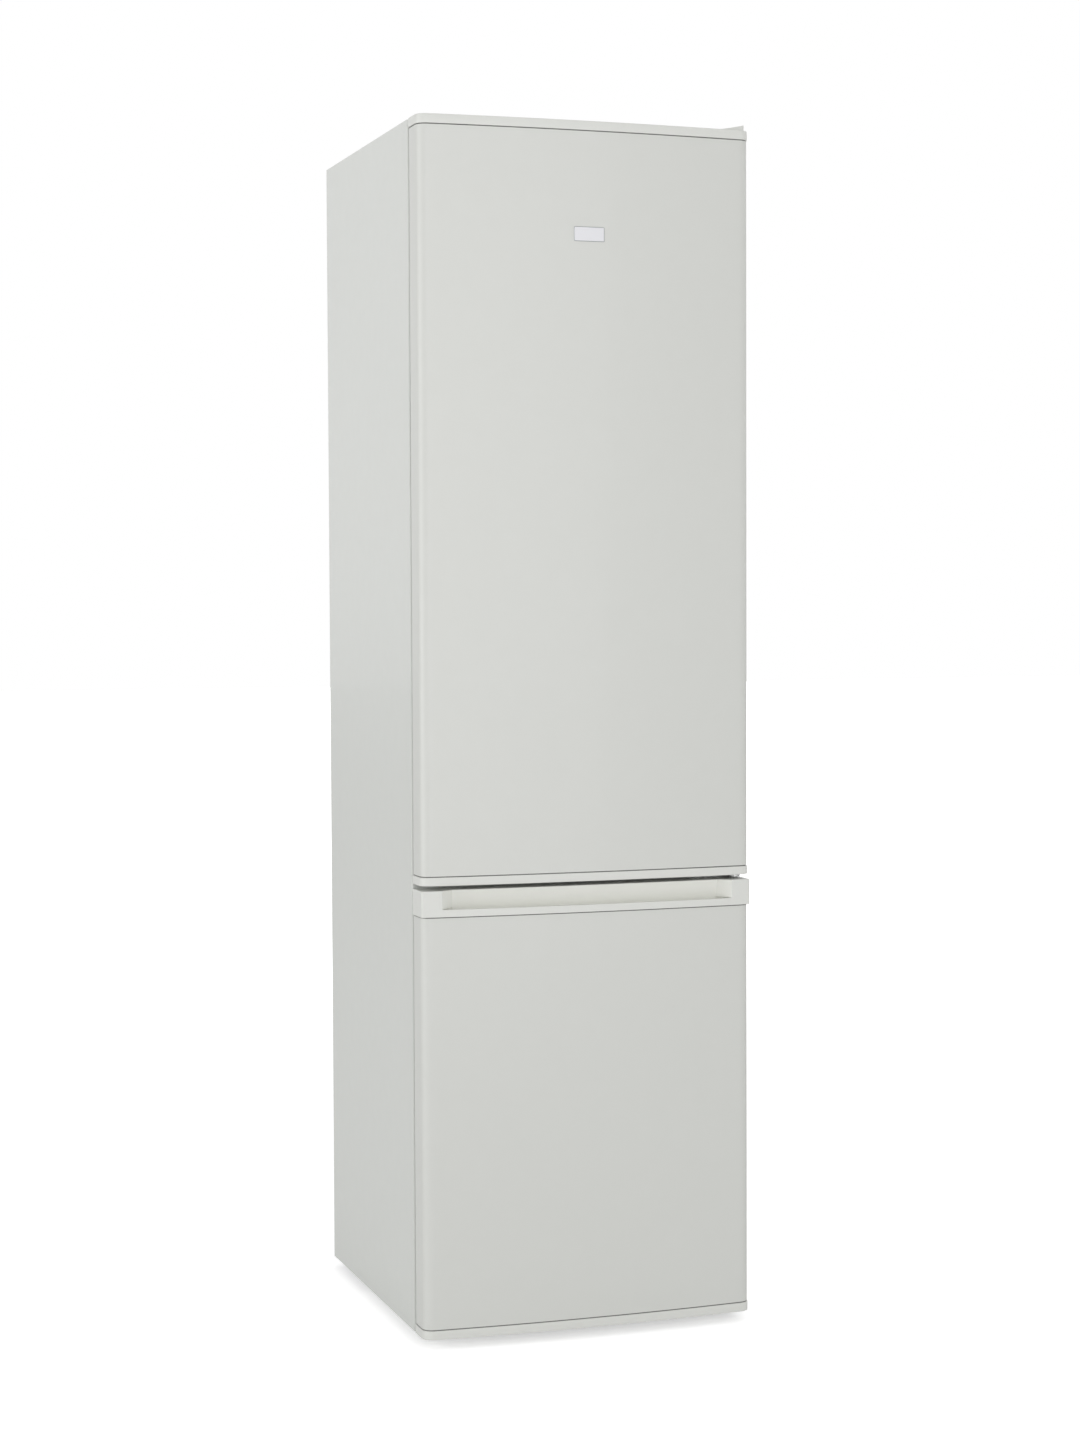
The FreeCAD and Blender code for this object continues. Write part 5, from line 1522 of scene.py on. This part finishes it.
@dataclass
class Compressor:
    """The welded steel shell with its relay box, dish and drier."""

    centre: Point = (-0.050, 0.1878)
    half_length: float = 0.098
    half_width: float = 0.068
    base: float = 0.0335
    top: float = 0.1935
    top_radius: float = 0.042
    low_radius: float = 0.026
    seam: float = 0.1215
    seam_reach: float = 0.0035
    seam_thickness: float = 0.003
    stub_radius: float = 0.004
    stub_sides: int = 24
    stub_height: float = 0.0775
    stub_end: float = 0.2628
    stub_step: float = 0.0327
    steps: int = 8
    side_steps: int = 24
    relay_corner: float = 0.004
    dish_taper: float = 0.006
    dish_wall: float = 0.002
    dish_corner: float = 0.010
    dish_edge: float = 0.0008
    neck: float = 0.0025
    shoulder: float = 0.014
    shoulder_steps: int = 6

    def oval(self, z: float, grow: float) -> Ring:
        """The shell's outline at a height.

        Args:
            z: The height.
            grow: How far it is grown.

        Returns:
            Its points.
        """
        radius = self.half_width + grow
        straight = self.half_length - self.half_width
        x, y = self.centre
        points = arc((x + straight, y), radius, -QUARTER, QUARTER, self.side_steps)
        points += arc((x - straight, y), radius, QUARTER, 1.5 * math.pi, self.side_steps)
        return at_z(points, z)

    def build(self) -> None:
        """Build the shell and the pieces round it."""
        self.shell()
        self.relay()
        self.dish()
        self.drier()

    def shell(self) -> None:
        """Build the shell, its weld seam and its pipe stubs."""
        curve = quarter(self.steps)
        low, top = self.low_radius, self.top_radius
        rings = [self.oval(self.base + low * (1 - cosine), low * (sine - 1)) for sine, cosine in curve]
        rings += [self.oval(self.top - top * (1 - sine), top * (cosine - 1)) for sine, cosine in curve]
        piece = shown("compressor_shell")
        piece.stack(rings)
        lip = self.seam_thickness / 4
        seam = [
            (0.0, -MM), (0.0, self.seam_reach - lip), (lip, self.seam_reach),
            (self.seam_thickness - lip, self.seam_reach), (self.seam_thickness, self.seam_reach - lip),
            (self.seam_thickness, -MM),
        ]
        piece.stack([self.oval(self.seam + rise, grow) for rise, grow in seam])
        for step in (-1, 0, 1):
            spot = (self.centre[0] + step * self.stub_step, self.stub_height)
            stub = circle(spot, self.stub_radius, self.stub_sides)
            piece.stack([at_y(stub, y) for y in (self.centre[1] + self.half_width / 2, self.stub_end)])
        place(piece.object(Palette.lacquer), Body.CABINET, "compressor_shell")

    def relay(self) -> None:
        """Build the terminal box on the shell's end."""
        low, high = node_box("relay_cover")
        piece = shown("relay_cover")
        piece.slab(low, high)
        piece.soften(
            self.relay_corner, segments=4,
            wanted=lambda edge: min(vert.co.x for vert in edge.verts) > high.x - MM,
        )
        place(piece.object(Palette.black_plastic, weighted=True), Body.CABINET, "relay_cover")

    def dish(self) -> None:
        """Build the open dish for the melt water."""
        low, high = node_box("evaporation_dish")
        taper, wall = self.dish_taper, self.dish_wall
        rings = []
        for inset, z in ((taper + wall, low.z + wall), (wall, high.z), (0.0, high.z), (taper, low.z)):
            near = (low.x + inset, low.y + inset)
            far = (high.x - inset, high.y - inset)
            rings.append(at_z(rounded_rectangle(near, far, self.dish_corner), z))
        piece = shown("evaporation_dish")
        piece.stack(rings)
        piece.soften(self.dish_edge, segments=2)
        place(piece.object(Palette.black_plastic), Body.CABINET, "evaporation_dish")

    def drier(self) -> None:
        """Build the copper drier with its drawn-in ends."""
        low, high = node_box("filter_drier")
        spot = ((low.x + high.x) / 2, (low.y + high.y) / 2)
        radius = (high.x - low.x) / 2
        rings = []
        for end, way in ((low.z, 1), (high.z, -1)):
            part = []
            for step in range(self.shoulder_steps + 1):
                share = (1 - math.cos(math.pi * step / self.shoulder_steps)) / 2
                section = circle(spot, self.neck + (radius - self.neck) * share)
                part.append(at_z(section, end + way * self.shoulder * step / self.shoulder_steps))
            rings += part if way > 0 else list(reversed(part))
        piece = shown("filter_drier")
        piece.stack(rings)
        place(piece.object(Palette.copper, smooth=50.0), Body.CABINET, "filter_drier")


@dataclass
class Pipes:
    """The four refrigerant pipes between the compressor, the condenser and the drier."""

    compressor: Compressor
    condenser: Condenser
    radius: float = 0.0024
    fine_radius: float = 0.0012
    bend: float = 0.010
    sides: int = 12
    steps: int = 6
    edge: float = 0.238
    riser_lane: float = 0.2874
    outlet_height: float = 0.211
    drier: Point = (0.150, 0.2912)
    drier_low: float = 0.085
    drier_high: float = 0.181
    loop_height: float = 0.065
    fine_lane: float = 0.2708
    suction_lane: float = 0.2768
    top: float = 0.2402

    def build(self) -> None:
        """Build the pipes."""
        shell, coil, edge = self.compressor, self.condenser, self.edge
        left, right = shell.centre[0] - shell.stub_step, shell.centre[0] + shell.stub_step
        stub, lane, inner = shell.stub_height, coil.lane, self.riser_lane
        riser = [
            (left, shell.stub_end, stub), (left, inner, stub), (-edge, inner, stub),
            (-edge, inner, coil.top - coil.pitch / 2), (-edge, lane, coil.top),
            (-coil.half, lane, coil.top),
        ]
        outlet = [
            (coil.half, lane, coil.base), (edge, lane, coil.base), (edge, lane, self.outlet_height),
            (*self.drier, self.outlet_height), (*self.drier, self.drier_high),
        ]
        x = self.drier[0]
        capillary = [
            (*self.drier, self.drier_low), (*self.drier, self.loop_height),
            (x, self.fine_lane, self.loop_height), (x, self.fine_lane, self.top),
        ]
        suction = [
            (right, shell.stub_end, stub), (right, self.suction_lane, stub),
            (right, self.suction_lane, self.top),
        ]
        piece = shown("refrigerant_pipes")
        wide, fine = self.radius, self.fine_radius
        for path, radius in ((riser, wide), (outlet, wide), (capillary, fine), (suction, wide)):
            piece.tube([Vector(point) for point in path], radius, self.bend, self.sides, self.steps)
        place(piece.object(Palette.copper, smooth=60.0), Body.CABINET, "refrigerant_pipes")


# Turned pieces


@dataclass
class Foot:
    """A levelling foot with its threaded stud."""

    node: str
    body: Body
    sides: int = 48
    pad: float = 0.017
    rim: float = 0.0015
    height: float = 0.009
    stud: float = 0.004
    pitch: float = 0.00125

    def build(self) -> None:
        """Build the foot."""
        low, high = node_box(self.node)
        spot = ((low.x + high.x) / 2, (low.y + high.y) / 2)
        pad, rim, stud, pitch = self.pad, self.rim, self.stud, self.pitch
        top = low.z + self.height
        levels = [(pad - rim, low.z), (pad, low.z + rim), (pad, top - rim), (pad - rim, top)]
        levels += [(stud + rim, top), (stud, top + rim)]
        z = top + rim
        while z + pitch < high.z - pitch:
            levels += [(stud - pitch / 3, z + pitch / 2), (stud, z + pitch)]
            z += pitch
        levels += [(stud, high.z - pitch / 2), (stud - pitch / 2, high.z)]
        piece = shown(self.node)
        piece.stack([at_z(circle(spot, radius, self.sides), level) for radius, level in levels])
        place(piece.object(Palette.black_plastic, smooth=25.0), self.body, self.node)


@dataclass
class Roller:
    """A rear roller with its axle."""

    node: str
    body: Body
    sides: int = 48
    half: float = 0.008
    edge: float = 0.0015
    hub: float = 0.006
    axle: float = 0.003
    axle_sides: int = 24

    def build(self) -> None:
        """Build the roller."""
        low, high = node_box(self.node)
        spot = ((low.y + high.y) / 2, (low.z + high.z) / 2)
        middle = (low.x + high.x) / 2
        radius, half, edge, hub = (high.z - low.z) / 2, self.half, self.edge, self.hub
        levels = [
            (hub, -half), (hub + edge, -half + edge), (radius - 2 * edge, -half + edge),
            (radius - 2 * edge, -half), (radius - edge, -half), (radius, -half + edge),
            (radius, half - edge), (radius - edge, half), (radius - 2 * edge, half),
            (radius - 2 * edge, half - edge), (hub + edge, half - edge), (hub, half),
        ]
        piece = shown(self.node)
        piece.stack([at_x(circle(spot, size, self.sides), middle + shift) for size, shift in levels])
        piece.stack([at_x(circle(spot, self.axle, self.axle_sides), x) for x in (low.x, high.x)])
        place(piece.object(Palette.black_plastic, smooth=30.0), self.body, self.node)


@dataclass
class Grommets:
    """The compressor's four rubber mounts."""

    sides: int = 48
    foot: float = 0.011
    neck: float = 0.0065
    cap: float = 0.009
    rim: float = 0.004
    plate: float = 0.003
    edge: float = 0.001

    def build(self) -> None:
        """Build the mounts."""
        low, high = node_box("compressor_grommets")
        foot, neck, cap, edge = self.foot, self.neck, self.cap, self.edge
        waist = high.z - self.rim - self.plate
        levels = [
            (foot - edge, low.z), (foot, low.z + edge), (foot, low.z + 3 * edge),
            (foot - edge, low.z + 5 * edge), (foot, low.z + 7 * edge), (foot, waist - edge),
            (foot - edge, waist), (neck, waist), (neck, waist + self.plate), (cap, waist + self.plate),
            (cap, high.z - edge), (cap - edge, high.z),
        ]
        piece = shown("compressor_grommets")
        for x in (low.x + foot, high.x - foot):
            for y in (low.y + foot, high.y - foot):
                piece.stack([at_z(circle((x, y), radius, self.sides), z) for radius, z in levels])
        place(piece.object(Palette.rubber, smooth=30.0), Body.CABINET, "compressor_grommets")


# Stage


@dataclass(frozen=True)
class Lamp:
    """A large soft lamp, turned to the refrigerator's middle."""

    name: str
    spot: tuple[float, float, float]
    size: float
    power: float
    aim: tuple[float, float, float] = (0.0, 0.0, 1.0)

    def hang(self) -> None:
        """Hang the lamp."""
        lamp = bpy.data.lights.new(self.name, "AREA")
        lamp.shape = "SQUARE"
        lamp.size = self.size
        lamp.energy = self.power
        obj = bpy.data.objects.new(self.name, lamp)
        obj.location = self.spot
        obj.rotation_euler = (Vector(self.aim) - Vector(self.spot)).to_track_quat("-Z", "Y").to_euler()
        bpy.context.scene.collection.objects.link(obj)


@dataclass
class Studio:
    """Floor, background, lamps and the camera of the photograph's view."""

    eye: tuple[float, float, float] = (-1.3874, -4.2182, 1.1552)
    yaw: float = 18.411
    pitch: float = 2.592
    roll: float = -0.2287
    lens: float = 67.185
    sensor: float = 36.0
    floor_half: float = 30.0
    floor_tone: tuple[float, float, float] = (0.9, 0.9, 0.9)
    floor_roughness: float = 0.9
    floor_lift: float = 0.5
    white_from: float = 1.2
    white_by: float = 4.0
    air: float = 0.52
    lamps: tuple[Lamp, ...] = (
        Lamp("front_lamp", (0.2, -6.6, 1.65), 4.4, 167.0),
        Lamp("side_lamp", (-5.8, -0.4, 1.45), 3.4, 110.0),
        Lamp("rear_lamp", (3.4, 5.2, 4.4), 3.6, 54.0),
    )

    def build(self) -> None:
        """Build the whole stage."""
        self.floor()
        self.background()
        for lamp in self.lamps:
            lamp.hang()
        self.camera()

    def floor(self) -> None:
        """Build the plain pale floor, which turns white away from the refrigerator."""
        bm = bmesh.new()
        bmesh.ops.create_grid(bm, x_segments=1, y_segments=1, size=self.floor_half)
        mesh = bpy.data.meshes.new("floor")
        bm.to_mesh(mesh)
        bm.free()
        obj = bpy.data.objects.new("floor", mesh)
        bpy.context.scene.collection.objects.link(obj)
        material = bpy.data.materials.new("pale_floor")
        graph = Graph(material)
        shader = graph.nodes["Principled BSDF"]
        graph.set(shader, {"Base Color": (*self.floor_tone, 1.0), "Roughness": self.floor_roughness})
        graph.set(shader, {"Emission Color": WHITE})
        away = graph.add("ShaderNodeVectorMath")
        away.operation = "LENGTH"
        graph.link(graph.add("ShaderNodeTexCoord"), "Object", away, 0)
        distances = {"From Min": self.white_from, "From Max": self.white_by, "To Min": self.floor_lift}
        fade = graph.add("ShaderNodeMapRange", distances)
        graph.link(away, "Value", fade, "Value")
        seen = graph.add("ShaderNodeLightPath").outputs["Is Camera Ray"]
        lift = graph.combine("MULTIPLY", seen, fade.outputs["Result"])
        graph.link(lift, "Value", shader, "Emission Strength")
        mesh.materials.append(material)

    def background(self) -> None:
        """Light the air evenly and show it white to the camera, in reflections and through glass."""
        world = bpy.data.worlds.new("studio_air")
        bpy.context.scene.world = world
        graph = Graph(world)
        light = graph.nodes["Background"]
        graph.set(light, {"Color": WHITE})
        rays = graph.add("ShaderNodeLightPath").outputs
        seen = graph.combine("MAXIMUM", rays["Is Camera Ray"], rays["Is Glossy Ray"])
        through = graph.combine("MAXIMUM", seen.outputs["Value"], rays["Is Transmission Ray"])
        strength = graph.add("ShaderNodeMapRange", {"To Min": self.air, "To Max": 1.0})
        graph.link(through, "Value", strength, "Value")
        graph.link(strength, "Result", light, "Strength")

    def camera(self) -> None:
        """Set up the camera at the photograph's viewing angle."""
        yaw, pitch, roll = (math.radians(angle) for angle in (self.yaw, self.pitch, self.roll))
        level = Vector((math.sin(yaw), math.cos(yaw), 0.0))
        across = Vector((math.cos(yaw), -math.sin(yaw), 0.0))
        upright = Vector((0.0, 0.0, 1.0))
        ahead = level * math.cos(pitch) - upright * math.sin(pitch)
        above = level * math.sin(pitch) + upright * math.cos(pitch)
        right = across * math.cos(roll) + above * math.sin(roll)
        top = above * math.cos(roll) - across * math.sin(roll)
        turn = Matrix((right, top, -ahead)).transposed()
        data = bpy.data.cameras.new("camera")
        data.lens = self.lens
        data.sensor_width = self.sensor
        obj = bpy.data.objects.new("camera", data)
        obj.matrix_world = Matrix.Translation(self.eye) @ turn.to_4x4()
        bpy.context.scene.collection.objects.link(obj)
        bpy.context.scene.camera = obj
        bpy.context.scene.view_settings.view_transform = "Standard"


# Nodes that keep their CAD shape


class Carried:
    """CAD nodes whose shape stays, with the finishes they wear."""

    def dress(self) -> None:
        """Give every CAD node the main finish of its record slot."""
        every = [value for value in vars(Palette).values() if isinstance(value, Finish)]
        finishes = {finish.slot: finish for finish in every if finish not in Palette.accents_and_painted_light_and_shade}
        slots = {entry["node"]: entry["material_slot"] for entry in frame["record"]["subparts"]}
        for name, obj in frame["nodes"].items():
            for slot in obj.material_slots:
                slot.material = PALETTE.material(finishes[slots[name]])


def main() -> None:
    """Build the refrigerator and its stage."""
    logging.basicConfig(level=logging.INFO, format="%(message)s")
    Carried().dress()
    shape = DoorShape()
    UpperDoor(shape, Body.UPPER_DOOR).build()
    LowerDoor(shape, Body.LOWER_DOOR).build()
    HingeCover().build()
    for level in ("bottom", "middle", "top"):
        DoorBin("door_bin_" + level, Body("bin_" + level)).build()
    Drawer("crisper_drawer", Palette.clear, taper=0.008, front_wall=0.008).build()
    for level in ("lower", "middle", "upper"):
        Drawer("freezer_drawer_" + level, Palette.frosted, taper=0.010, front_wall=0.014).build()
    Dial().build()
    FridgeLiner().build()
    for eased in (
        Eased("upper_door_liner", Palette.liner, 0.005, Body.UPPER_DOOR, Edges.CREST, segments=5),
        Eased("lower_door_liner", Palette.liner, 0.005, Body.LOWER_DOOR, Edges.CREST, segments=5),
        Eased("upper_door_seal", Palette.seal, 0.0006, Body.UPPER_DOOR),
        Eased("lower_door_seal", Palette.seal, 0.0006, Body.LOWER_DOOR),
        Eased("control_housing", Palette.trim, 0.0012),
        Eased("lamp_cover", Palette.clear, 0.0004),
        Eased("shelf_trims", Palette.trim, 0.0008),
        Eased("glass_shelves", Palette.glass, 0.0007),
        Eased("crisper_cover", Palette.glass, 0.0007),
        Eased("top_hinge", Palette.plated, 0.0005),
        Eased("middle_hinge", Palette.plated, 0.0005),
        Eased("bottom_hinge", Palette.plated, 0.0005),
        Eased("fasteners", Palette.plated, 0.0003),
        Eased("compressor_mounting_plate", Palette.lacquer, 0.0006),
        Eased("roller_forks", Palette.zinc, 0.0004),
        Eased("condenser_clips", Palette.black_plastic, 0.0005),
        Eased("centre_rail", Palette.cabinet_paint, 0.0006),
        Eased("base_panel", Palette.cabinet_paint, 0.0005, edges=Edges.STANDING),
        Eased("side_panel_left", Palette.cabinet_paint, 0.0005, edges=Edges.STANDING),
        Eased("side_panel_right", Palette.cabinet_paint, 0.0005, edges=Edges.STANDING),
        Eased("top_panel", Palette.cabinet_paint, 0.0005),
    ):
        eased.build()
    condenser = Condenser()
    condenser.build()
    compressor = Compressor()
    compressor.build()
    Pipes(compressor, condenser).build()
    for side in ("left", "right"):
        Foot("front_foot_" + side, Body("foot_" + side)).build()
    for side in ("left", "right"):
        Roller("rear_roller_" + side, Body("roller_" + side)).build()
    Grommets().build()
    Studio().build()


if __name__ == "__main__":
    main()
